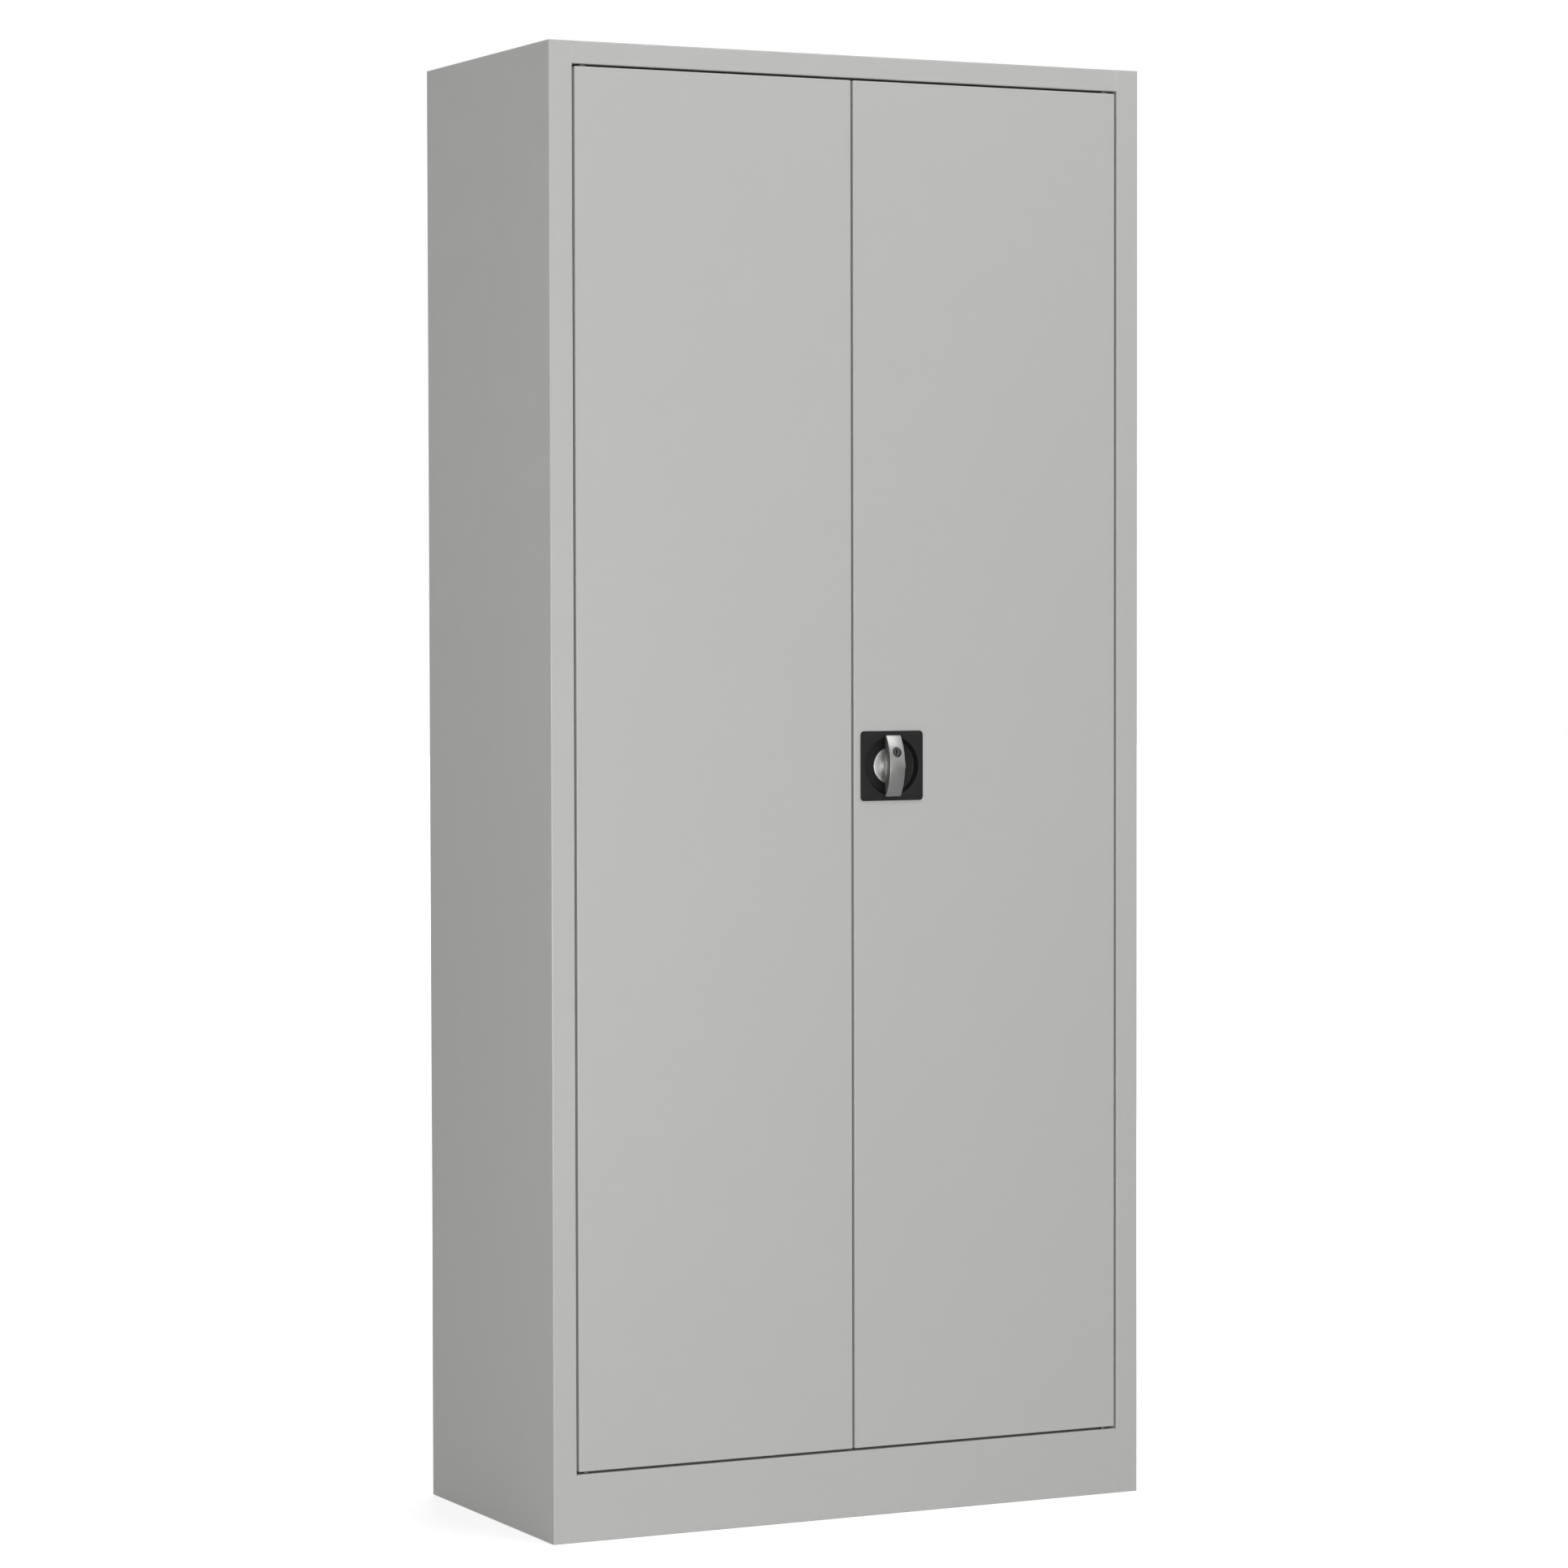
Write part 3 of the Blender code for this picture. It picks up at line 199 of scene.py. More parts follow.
def streakEffect():
    # brushing or drawing marks, long along the axis whose stretch is small
    inputs = [("Stretch", "Vector"), ("Scale", "Float")]
    group, given, result = effectGroup("streaks", inputs, "Height")
    squeezed = vectorNode(group, "MULTIPLY", given["Vector"], given["Stretch"]).outputs["Vector"]
    wire(group, noise(group, squeezed, given["Scale"], detail=3.0, roughness=0.65), result)
    return group


effects = {
    group.name: group
    for group in (cloudEffect(), grainEffect(), edgeEffect(), streakEffect())
}
print("shared effects:", ", ".join(effects))


# Finishes

def startMaterial(look):
    material = bpy.data.materials.new(look["name"])
    material.use_nodes = True
    tree = material.node_tree
    shader = tree.nodes["Principled BSDF"]
    shader.inputs["Metallic"].default_value = look["metallic"]
    shader.inputs["Specular IOR Level"].default_value = look.get("specular", 0.5)
    material.diffuse_color = (*look["colour"], 1)
    return material, tree, shader, tree.nodes.new("ShaderNodeTexCoord").outputs["Object"]


def effect(tree, name, place, **values):
    node = tree.nodes.new("ShaderNodeGroup")
    node.node_tree = effects[name]
    wire(tree, place, node.inputs["Vector"])
    for label, value in values.items():
        node.inputs[spaced(label)].default_value = value
    return node.outputs[0]


def toned(tree, colour, factor):
    node = vectorNode(tree, "SCALE", colour)
    wire(tree, factor, node.inputs["Scale"])
    return node.outputs["Vector"]


def mixed(tree, factor, first, second):
    node = tree.nodes.new("ShaderNodeMix")
    node.data_type = "RGBA"
    wire(tree, factor, node.inputs[0])
    for socket, value in ((node.inputs[6], first), (node.inputs[7], second)):
        feed(tree, socket, value if isinstance(value, bpy.types.NodeSocket) else (*value, 1))
    return node.outputs[2]


def addBump(tree, shader, height, depth):
    node = tree.nodes.new("ShaderNodeBump")
    node.inputs["Distance"].default_value = depth
    wire(tree, height, node.inputs["Height"])
    wire(tree, node.outputs["Normal"], shader.inputs["Normal"])


# edgeWearAndHighlightColour is the lighter tone on folds and rims: partly wear and a thinner coat,
# partly a painted highlight along the folds
finishLooks = {
    "grey_coating": {
        "name": "greyCoat", "colour": (0.497, 0.497, 0.487), "edgeWearAndHighlightColour": (0.63, 0.63, 0.62),
        "metallic": 0.0, "roughness": 0.46, "roughnessSwing": 0.05, "roughnessSize": 50 * mm,
        "toneSize": 380 * mm, "toneSwing": 0.030, "edgeRadius": 1.4 * mm, "edgeBreak": 0.5,
        "grainSize": 1.5 * mm, "fineShare": 0.35, "grainDepth": 0.010 * mm,
    },
    "black_plastic": {
        "name": "blackPlastic",
        "colour": (0.0095, 0.0095, 0.0100), "edgeWearAndHighlightColour": (0.030, 0.030, 0.031),
        "metallic": 0.0, "specular": 0.24,
        "roughness": 0.54, "roughnessSwing": 0.07, "roughnessSize": 4 * mm,
        "toneSize": 6 * mm, "toneSwing": 0.35, "edgeRadius": 0.6 * mm, "edgeBreak": 0.7,
        "grainSize": 0.45 * mm, "fineShare": 0.5, "grainDepth": 0.022 * mm,
    },
    "cast_metal": {
        "name": "satinCast", "colour": (0.285, 0.285, 0.28), "edgeWearAndHighlightColour": (0.48, 0.48, 0.47),
        "deepHighlightColour": (0.48, 0.48, 0.47), "deepHighlightFrom": 2 * mm,  # painted highlight on the hub, deep in the dish
        "metallic": 0.78, "roughness": 0.35, "roughnessSwing": 0.07, "roughnessSize": 3.5 * mm,
        "toneSize": 7 * mm, "toneSwing": 0.22, "edgeRadius": 0.7 * mm, "edgeBreak": 0.8,
        "stretch": (1.0, 1.0, 0.05), "streakScale": 1500.0, "streakDepth": 0.006 * mm,
    },
    "zinc_plate": {
        "name": "zincPlating", "colour": (0.50, 0.51, 0.52), "edgeWearAndHighlightColour": (0.68, 0.68, 0.67),
        "metallic": 1.0, "roughness": 0.36, "roughnessSwing": 0.09, "roughnessSize": 4.5 * mm,
        "toneSize": 9 * mm, "toneSwing": 0.30, "edgeRadius": 0.5 * mm, "edgeBreak": 0.8,
        "stretch": (1.0, 1.0, 0.12), "streakScale": 1100.0, "streakDepth": 0.006 * mm,
    },
    "cylinder_steel": {
        "name": "darkSteel", "colour": (0.10, 0.10, 0.105), "edgeWearAndHighlightColour": (0.30, 0.30, 0.30),
        "metallic": 1.0, "roughness": 0.38, "roughnessSwing": 0.08, "roughnessSize": 1.5 * mm,
        "toneSize": 3 * mm, "toneSwing": 0.25, "edgeRadius": 0.3 * mm, "edgeBreak": 0.8,
        "stretch": (1.0, 1.0, 1.0), "streakScale": 2500.0, "streakDepth": 0.004 * mm,
    },
    "white_nylon": {
        "name": "naturalNylon", "colour": (0.68, 0.67, 0.61),
        "metallic": 0.0, "roughness": 0.42, "roughnessSwing": 0.06, "roughnessSize": 2 * mm,
        "toneSize": 5 * mm, "toneSwing": 0.10,
        "grainSize": 0.5 * mm, "fineShare": 0.5, "grainDepth": 0.010 * mm,
    },
    "soft_rubber": {
        "name": "blackRubber", "colour": (0.028, 0.028, 0.029),
        "metallic": 0.0, "specular": 0.3,
        "roughness": 0.78, "roughnessSwing": 0.08, "roughnessSize": 2 * mm,
        "toneSize": 5 * mm, "toneSwing": 0.30,
        "grainSize": 0.35 * mm, "fineShare": 0.5, "grainDepth": 0.030 * mm,
    },
}


def makeFinish(look):
    material, tree, shader, place = startMaterial(look)
    colour = look["colour"]
    if "deepHighlightColour" in look:
        # painted highlight: the colour turns lighter from the doors' front to a little behind it,
        # which lights up the hub deep in the dish
        deep = mapRange(tree, axisOf(tree, place, "Y"), front, front + look["deepHighlightFrom"])
        colour = mixed(tree, deep, colour, look["deepHighlightColour"])
    tone = effect(tree, "clouds", place, size=look["toneSize"], amount=look["toneSwing"])
    colour = toned(tree, colour, tone)
    # painted highlight, partly wear: folds and rims are mixed towards a lighter colour
    if "edgeWearAndHighlightColour" in look:
        rims = effect(tree, "edges", place, radius=look["edgeRadius"], breakUp=look["edgeBreak"])
        colour = mixed(tree, rims, colour, look["edgeWearAndHighlightColour"])
    wire(tree, colour, shader.inputs["Base Color"])
    patches = effect(tree, "clouds", place, size=look["roughnessSize"], amount=1.0)
    # at amount 1 the clouds lie between about 0.7 and 1.3
    rough, swing = look["roughness"], look["roughnessSwing"]
    rough = mapRange(tree, patches, 0.7, 1.3, rough - swing, rough + swing)
    wire(tree, rough, shader.inputs["Roughness"])
    if "stretch" in look:
        marks = effect(tree, "streaks", place, stretch=look["stretch"], scale=look["streakScale"])
        addBump(tree, shader, marks, look["streakDepth"])
    else:
        grain = effect(tree, "grain", place, size=look["grainSize"], fineShare=look["fineShare"])
        addBump(tree, shader, grain, look["grainDepth"])
    return material


finishes = {slotName: makeFinish(look) for slotName, look in finishLooks.items()}
for nodeName, node in cadNodes.items():
    node.data.materials.clear()
    node.data.materials.append(finishes[slotOf[nodeName]])
print("finishes:", len(finishes))


# Mesh helpers

# lie stands a piece drawn in x and y up: y becomes z and z becomes -y
lie = Matrix.Rotation(math.pi / 2, 4, "X")
# fromSide turns a side view: x becomes y, y becomes z and z becomes x
fromSide = Matrix(((0, 0, 1, 0), (1, 0, 0, 0), (0, 1, 0, 0), (0, 0, 0, 1)))
sharpAngle = math.radians(32)  # flatter corners are shaded as round, and roundEdges leaves them
weldGap = 0.002 * mm


def pick(look, keys):
    return [look[key] for key in keys.split()]


def named(part):
    return [node for node in cadNodes if part in node]


def centreOf(node):
    low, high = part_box(node)
    return (low + high) / 2


def newObject(name, data):
    made = bpy.data.objects.new(name, data)
    bpy.context.scene.collection.objects.link(made)
    return made


def shadeByAngle(mesh):
    mesh.polygons.foreach_set("use_smooth", [True] * len(mesh.polygons))
    mesh.set_sharp_from_angle(angle=sharpAngle)
    mesh.update()


def meshObject(name, bm):
    bmesh.ops.remove_doubles(bm, verts=bm.verts, dist=weldGap)
    bmesh.ops.recalc_face_normals(bm, faces=bm.faces)
    mesh = bpy.data.meshes.new(name)
    bm.to_mesh(mesh)
    bm.free()
    shadeByAngle(mesh)
    return newObject(name, mesh)


def applied(piece):
    # what the modifiers make becomes the piece's plain mesh
    graph = bpy.context.evaluated_depsgraph_get()
    mesh = bpy.data.meshes.new_from_object(piece.evaluated_get(graph), depsgraph=graph)
    piece.modifiers.clear()
    piece.data = mesh
    return piece


def roundEdges(piece, width, segments=2):
    bevel = piece.modifiers.new("roundEdges", "BEVEL")
    bevel.width = width
    bevel.segments = segments
    bevel.limit_method = "ANGLE"
    bevel.angle_limit = sharpAngle
    return applied(piece)


def thicken(piece, thickness):
    wall = piece.modifiers.new("wall", "SOLIDIFY")
    wall.thickness = thickness
    wall.offset = 0
    wall.use_even_offset = True
    return applied(piece)


def carve(piece, others, operation="DIFFERENCE"):
    for other in others:
        tool = piece.modifiers.new("carve", "BOOLEAN")
        tool.operation = operation
        tool.solver = "EXACT"
        tool.object = other
    applied(piece)
    for other in others:
        bpy.data.objects.remove(other)
    return piece


def moved(piece, transform):
    piece.data.transform(transform)
    return piece


def dress(piece, body, slotName, *replaced):
    # the finished piece: shaded, with its finish, on its body, in place of its CAD pieces
    shadeByAngle(piece.data)
    piece.data.materials.clear()
    piece.data.materials.append(finishes[slotName])
    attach(piece, body)
    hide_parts(*replaced)


def ringAt(angles, radius, height):
    # radius and height are numbers, or rules that take an angle
    points = []
    for a in angles:
        r = radius(a) if callable(radius) else radius
        z = height(a) if callable(height) else height
        points.append((r * math.cos(a) * mm, r * math.sin(a) * mm, z * mm))
    return points


def evenAngles(steps):
    return [2 * math.pi * i / steps for i in range(steps)]


def skin(bm, rings, closed=False):
    # quads between rings of equal count; a ring of one point is a pole
    rows = [[bm.verts.new(point) for point in ring] for ring in rings]
    for low, high in zip(rows, rows[1:] + (rows[:1] if closed else [])):
        count = max(len(low), len(high))
        for i in range(count):
            j = (i + 1) % count
            if len(low) == 1:
                bm.faces.new((low[0], high[j], high[i]))
            elif len(high) == 1:
                bm.faces.new((low[i], low[j], high[0]))
            else:
                bm.faces.new((low[i], low[j], high[j], high[i]))
    return bm


def lathe(name, profile, steps, closed=False):
    # profile of (radius, height) in mm; a radius of nothing closes the end
    angles = evenAngles(steps)
    rings = [ringAt(angles, r, z) if r > 0 else [(0, 0, z * mm)] for r, z in profile]
    return meshObject(name, skin(bmesh.new(), rings, closed))


def fillet(radius, height, size, start, sweep=90, steps=4):
    # round about (radius, height), from the start angle through the sweep, in degrees
    turn = [math.radians(start + sweep * i / steps) for i in range(steps + 1)]
    return [(radius + size * math.cos(a), height + size * math.sin(a)) for a in turn]


def prism(name, outline, low, high):
    # outline in mm, extruded along z
    bm = bmesh.new()
    bottom = [bm.verts.new((x * mm, y * mm, low * mm)) for x, y in outline]
    top = [bm.verts.new((x * mm, y * mm, high * mm)) for x, y in outline]
    bm.faces.new(bottom[::-1])
    bm.faces.new(top)
    for i, j in zip(range(len(outline)), [*range(1, len(outline)), 0]):
        bm.faces.new((bottom[i], bottom[j], top[j], top[i]))
    return meshObject(name, bm)


def roundedBox(halfWidth, halfHeight, radius, steps=5, middle=(0, 0)):
    # rectangle with round corners, counted anticlockwise from its right side, in mm
    outline = []
    for quarter, (signX, signY) in enumerate(((1, 1), (-1, 1), (-1, -1), (1, -1))):
        for i in range(steps + 1):
            a = math.radians(90 * (quarter + i / steps))
            outline.append((
                middle[0] + signX * (halfWidth - radius) + radius * math.cos(a),
                middle[1] + signY * (halfHeight - radius) + radius * math.sin(a),
            ))
    return outline


def bentLine(points, radius, steps=4):
    # a polyline in mm whose inner corners become arcs
    line = [Vector(points[0])]
    for before, corner, after in zip(points, points[1:], points[2:]):
        corner = Vector(corner)
        inward = (Vector(before) - corner).normalized()
        outward = (Vector(after) - corner).normalized()
        half = inward.angle(outward) / 2
        centre = corner + (inward + outward).normalized() * (radius / math.sin(half))
        start = corner + inward * (radius / math.tan(half)) - centre
        end = corner + outward * (radius / math.tan(half)) - centre
        for i in range(steps + 1):
            line.append(centre + start.lerp(end, i / steps).normalized() * radius)
    return line + [Vector(points[-1])]


def ribbon(name, line, low, high, thickness):
    # a bent strip: its centre line in x and y, drawn out along z and given its wall, in mm
    bm = bmesh.new()
    rows = [[bm.verts.new((p.x * mm, p.y * mm, z * mm)) for p in line] for z in (low, high)]
    for i in range(len(line) - 1):
        bm.faces.new((rows[0][i], rows[0][i + 1], rows[1][i + 1], rows[1][i]))
    return thicken(meshObject(name, bm), thickness * mm)


# Geometry Nodes helpers

def growthGroup(name, inputs):
    geometry = ("Geometry", "Geometry")
    return nodeGroup(name, "GeometryNodeTree", [geometry, *inputs], geometry)


def build(tree, kind, **inputs):
    node = tree.nodes.new(kind)
    for label, value in inputs.items():
        feed(tree, node.inputs[spaced(label)], value)
    return node.outputs[0]


def combine(tree, x=0.0, y=0.0, z=0.0):
    node = tree.nodes.new("ShaderNodeCombineXYZ")
    for socket, value in zip(node.inputs, (x, y, z)):
        feed(tree, socket, value)
    return node.outputs[0]


def copies(tree, points, item, angles):
    rotation = build(tree, "FunctionNodeEulerToRotation", euler=angles)
    kind = "GeometryNodeInstanceOnPoints"
    return build(tree, kind, points=points, instance=item, rotation=rotation)


def finishGrowth(tree, geometry, material, result):
    real = build(tree, "GeometryNodeRealizeInstances", geometry=geometry)
    wire(tree, build(tree, "GeometryNodeSetMaterial", geometry=real, material=material), result)


def columnGrowth():
    # one item in rows up the four corners of the case, turned to face inwards
    group, given, result = growthGroup("cornerColumns", [
        ("Half Width", "Float"), ("Front", "Float"), ("Rear", "Float"), ("First", "Float"),
        ("Step", "Float"), ("Rows", "Int"), ("Weld", "Float"), ("Finish", "Material"),
    ])
    width = mathNode(group, "MULTIPLY", given["Half Width"], 2.0)
    depth = mathNode(group, "SUBTRACT", given["Rear"], given["Front"])
    corners = build(
        group, "GeometryNodeMeshGrid", sizeX=width, sizeY=depth, verticesX=2, verticesY=2,
    )
    middle = mathNode(group, "MULTIPLY", mathNode(group, "ADD", given["Rear"], given["Front"]), 0.5)
    start = combine(group, 0.0, middle, given["First"])
    row = build(group, "GeometryNodeTransform", geometry=corners, translation=start)
    way = combine(group, 0.0, 0.0, given["Step"])
    line = build(group, "GeometryNodeMeshLine", count=given["Rows"], offset=way)
    stacked = build(group, "GeometryNodeInstanceOnPoints", points=line, instance=row)
    spots = build(group, "GeometryNodeRealizeInstances", geometry=stacked)
    across = axisOf(group, group.nodes.new("GeometryNodeInputPosition").outputs[0], "X")
    onRight = mathNode(group, "GREATER_THAN", across, 0.0)
    turn = combine(group, 0.0, 0.0, mathNode(group, "MULTIPLY", onRight, math.pi))
    placed = copies(group, spots, given["Geometry"], turn)
    real = build(group, "GeometryNodeRealizeInstances", geometry=placed)
    welded = build(group, "GeometryNodeMergeByDistance", geometry=real, distance=given["Weld"])
    finishGrowth(group, welded, given["Finish"], result)
    return group


def heightGrowth():
    # items up a line; the last one can be turned over about the x axis
    group, given, result = growthGroup("heightRun", [
        ("Start", "Vector"), ("Step", "Float"), ("Count", "Int"), ("Turn Last", "Float"),
        ("Finish", "Material"),
    ])
    line = build(
        group, "GeometryNodeMeshLine", count=given["Count"], startLocation=given["Start"],
        offset=combine(group, 0.0, 0.0, given["Step"]),
    )
    last = mathNode(group, "SUBTRACT", given["Count"], 1.5)
    index = group.nodes.new("GeometryNodeInputIndex").outputs[0]
    isLast = mathNode(group, "GREATER_THAN", index, last)
    turn = combine(group, mathNode(group, "MULTIPLY", isLast, given["Turn Last"]))
    placed = copies(group, line, given["Geometry"], turn)
    finishGrowth(group, placed, given["Finish"], result)
    return group


def threadGrowth():
    # a screw thread: a small ridge wound along a spiral
    group, given, result = growthGroup("threadRidge", [
        ("Radius", "Float"), ("Length", "Float"), ("Turns", "Float"), ("Ridge", "Float"),
        ("Finish", "Material"),
    ])
    spiral = build(
        group, "GeometryNodeCurveSpiral", resolution=48, rotations=given["Turns"],
        startRadius=given["Radius"], endRadius=given["Radius"], height=given["Length"],
    )
    section = build(
        group, "GeometryNodeCurvePrimitiveCircle", resolution=6, radius=given["Ridge"],
    )
    ridge = build(
        group, "GeometryNodeCurveToMesh", curve=spiral, profileCurve=section, fillCaps=True,
    )
    finishGrowth(group, ridge, given["Finish"], result)
    return group


growths = {group.name: group for group in (columnGrowth(), heightGrowth(), threadGrowth())}


def grow(piece, groupName, **values):
    group = growths[groupName]
    modifier = piece.modifiers.new(groupName, "NODES")
    modifier.node_group = group
    items = group.interface.items_tree
    sockets = {item.name: item.identifier for item in items if item.in_out == "INPUT"}
    for label, value in values.items():
        modifier[sockets[spaced(label)]] = value
    return applied(piece)


def growAtCorners(piece, stem, slotName, **values):
    # up the four corners, in line with the CAD pieces of that stem
    rows = {end: centreOf(stem + "_" + end + "_left").y for end in ("front", "rear")}
    return grow(piece, "cornerColumns", finish=finishes[slotName], **rows, **values)


def growUp(piece, slotName, start, rise, count=2, turnLast=0.0):
    return grow(
        piece, "heightRun", start=start, step=rise / (count - 1), count=count,
        turnLast=turnLast, finish=finishes[slotName],
    )


print("growing groups:", ", ".join(growths))


# Slotted uprights: a folded hat section made in pitch-long lengths with one slot in each

uprightLook = {
    "sheet": 0.8,
    "bend": 1.0,
    "web": 22.0,
    "webMiddle": 0.6,  # half the way between the two middle points of the web's border
    "pitch": 50.0,
    "slotUp": 18.1,  # from a length's lower end to its slot
    "slotWidth": 3.2,
    "slotHeight": 8.0,
    "slotCorner": 0.8,
    "weld": 0.02,  # the lengths' ends are merged within this
}


def uprightLength(depth, width):
    # the web stands at x 0 and faces +x, the flanges lie on the wall at x -depth
    look = uprightLook
    half, low, pitch = look["web"] / 2, look["slotUp"], look["pitch"]
    high = low + look["slotHeight"]
    path = bentLine([(-depth, width / 2), (-depth, half), (0, half), (0, 0)], look["bend"])[:-1]
    bm = bmesh.new()
    levels = (0, low, high, pitch)
    for side in (-1, 1):
        columns = [
            [bm.verts.new((p.x * mm, side * p.y * mm, z * mm)) for z in levels] for p in path
        ]
        for left, right in zip(columns, columns[1:]):
            for i in range(len(levels) - 1):
                bm.faces.new((left[i], right[i], right[i + 1], left[i + 1]))
    # the web's border has as many points as the slot, and the two are joined
    edge, inner = path[-1].y, look["webMiddle"]
    upper = [(edge, high), (edge, pitch), (edge / 2, pitch), (inner, pitch)]
    lower = [(-edge, low), (-edge, 0), (-edge / 2, 0), (-inner, 0)]
    border = upper + [(-y, z) for y, z in reversed(upper)]
    border += lower + [(-y, z) for y, z in reversed(lower)]
    halfWidth, halfHeight, middle = look["slotWidth"] / 2, look["slotHeight"] / 2, (low + high) / 2
    slot = roundedBox(halfWidth, halfHeight, look["slotCorner"], steps=3, middle=(0, middle))
    skin(bm, [[(0, y * mm, z * mm) for y, z in ring] for ring in (border, slot)])
    return meshObject("slottedUprights", bm)


def addUprights():
    look = uprightLook
    low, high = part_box("shelf_upright_front_left")
    sheet, pitch = look["sheet"] * mm, look["pitch"] * mm
    depth, width = (high.x - low.x) / mm - look["sheet"], (high.y - low.y) / mm
    rows = int((high.z - low.z) / pitch)
    piece = growAtCorners(
        uprightLength(depth, width), "shelf_upright", "grey_coating",
        halfWidth=-(high.x - sheet / 2), first=low.z, step=pitch, rows=rows, weld=look["weld"] * mm,
    )
    for vertex in piece.data.vertices:  # the last length runs on to the upright's end
        if vertex.co.z > low.z + rows * pitch - mm:
            vertex.co.z = high.z
    thicken(piece, sheet)
    dress(piece, "carcass", "grey_coating", *named("shelf_upright"))


# Shelf clips: a bent ledge with a hooked tab

clipLook = {
    "plate": 1.5,
    "bend": 1.3,
    "length": 14.0,
    "width": 20.0,
    "drop": 16.0,
    "tab": 2.4,
    "hook": [
        (0.6, -1.6), (-3.5, -1.6), (-4.1, -2.2), (-4.1, -8.4),
        (-2.6, -9.0), (-1.4, -7.6), (-1.4, -6.0), (0.6, -6.0),
    ],
    "edge": 0.3,
}


def addClips():
    look = clipLook
    half, halfWidth, halfTab = (size / 2 for size in pick(look, "plate width tab"))
    line = bentLine([(half, -look["drop"]), (half, -half), (look["length"], -half)], look["bend"])
    clip = ribbon("shelfClips", line, -halfWidth, halfWidth, look["plate"])
    carve(clip, [prism("hook", look["hook"], -halfTab, halfTab)], "UNION")
    moved(roundEdges(clip, look["edge"] * mm), lie)
    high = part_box("shelf_1_clip_front_left")[1]
    rows = len(named("_clip_front_left"))
    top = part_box("shelf_%d_clip_front_left" % rows)[1].z
    growAtCorners(
        clip, "shelf_1_clip", "zinc_plate", halfWidth=-(high.x - look["length"] * mm),
        first=high.z, step=(top - high.z) / (rows - 1), rows=rows, weld=0.0,
    )
    dress(clip, "carcass", "zinc_plate", *named("_clip_"))


addUprights()
addClips()
print("uprights and clips")


# Spot-weld marks: shallow rings left by the electrodes under the coat

weldLook = {
    "mark": [(0, 0.02), (1.5, 0.04), (2.2, 0.14), (2.7, 0.09), (3.0, -0.06), (0, -0.06)],
    "steps": 16,
    "uprightRows": 11,
    "uprightIn": 4.0,  # from the flange's edge
    "stiffenerRows": 13,
    "stiffenerIn": 6.0,
    "endGap": 36.0,
}


def weldMarks(name, places, turn):
    # several marks in one piece, all facing the same way
    whole = bmesh.new()
    for x, y in places:
        mark = lathe("mark", weldLook["mark"], weldLook["steps"])
        moved(mark, Matrix.Translation((x, y, 0)) @ turn)
        whole.from_mesh(mark.data)
        bpy.data.objects.remove(mark)
    return meshObject(name, whole)


def addUprightWelds():
    look = weldLook
    low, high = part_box("shelf_upright_front_left")
    reach = (high.y - low.y) / 2 - look["uprightIn"] * mm
    inwards = Matrix.Rotation(math.pi / 2, 4, "Y")
    marks = weldMarks("uprightWelds", [(0, -reach), (0, reach)], inwards)
    gap, rows = look["endGap"] * mm, look["uprightRows"]
    growAtCorners(
        marks, "shelf_upright", "grey_coating", halfWidth=-(low.x + uprightLook["sheet"] * mm),
        first=low.z + gap, step=(high.z - low.z - 2 * gap) / (rows - 1), rows=rows, weld=0.0,
    )
    dress(marks, "carcass", "grey_coating")


def addStiffenerWelds(sideName):
    look = weldLook
    low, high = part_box("door_stiffener_" + sideName)
    reach = (high.x - low.x) / 2 - look["stiffenerIn"] * mm
    towardsRear = Matrix.Rotation(-math.pi / 2, 4, "X")
    marks = weldMarks(sideName + "StiffenerWelds", [(-reach, 0), (reach, 0)], towardsRear)
    gap = look["endGap"] * mm
    start = ((low.x + high.x) / 2, low.y + uprightLook["sheet"] * mm, low.z + gap)
    growUp(marks, "grey_coating", start, high.z - low.z - 2 * gap, look["stiffenerRows"])
    dress(marks, sideName + "_door", "grey_coating")


addUprightWelds()
for sideName in ("left", "right"):
    addStiffenerWelds(sideName)
print("weld marks")


# Hinges and buffers

hingeLook = {
    "pin": [
        (0, -2.7), (2.6, -2.66), (4.1, -2.4), (4.8, -1.9), (5.0, -1.1), (3.0, -1.1),
        (3.0, 0.3), (5.7, 0.3), (6.0, 0.6), (6.0, 2.4), (5.7, 2.7), (3.0, 2.7),
        (3.0, 11.9), (2.7, 12.6), (2.0, 13.0), (0, 13.0),
    ],
    "pinTip": 13.0,
    "bush": [
        (3.7, 0), (4.9, 0), (5.0, 0.1), (5.0, 1.1), (6.7, 1.1), (7.0, 1.4), (7.0, 2.3), (6.7, 2.6),
        (5.0, 2.6), (5.0, 7.5), (4.6, 8.0), (3.6, 8.0), (3.3, 7.7), (3.3, 0.4),
    ],
    "buffer": [
        (0, 5.7), (2.8, 5.65), (3.6, 5.3), (4.0, 4.7), (4.0, 1.0), (3.7, 0.3), (1.7, 0.3),
        (1.7, -1.1), (2.6, -1.2), (2.4, -2.0), (1.6, -3.4), (0, -3.5),
    ],
    "bufferFace": 5.7,
    "steps": 32,
}


def pairOf(name, item, reach):
    # the same item left and right of the middle
    whole = bmesh.new()
    for x in (-reach, reach):
        item.data.transform(Matrix.Translation((x, 0, 0)))
        whole.from_mesh(item.data)
        item.data.transform(Matrix.Translation((-x, 0, 0)))
    bpy.data.objects.remove(item)
    return meshObject(name, whole)


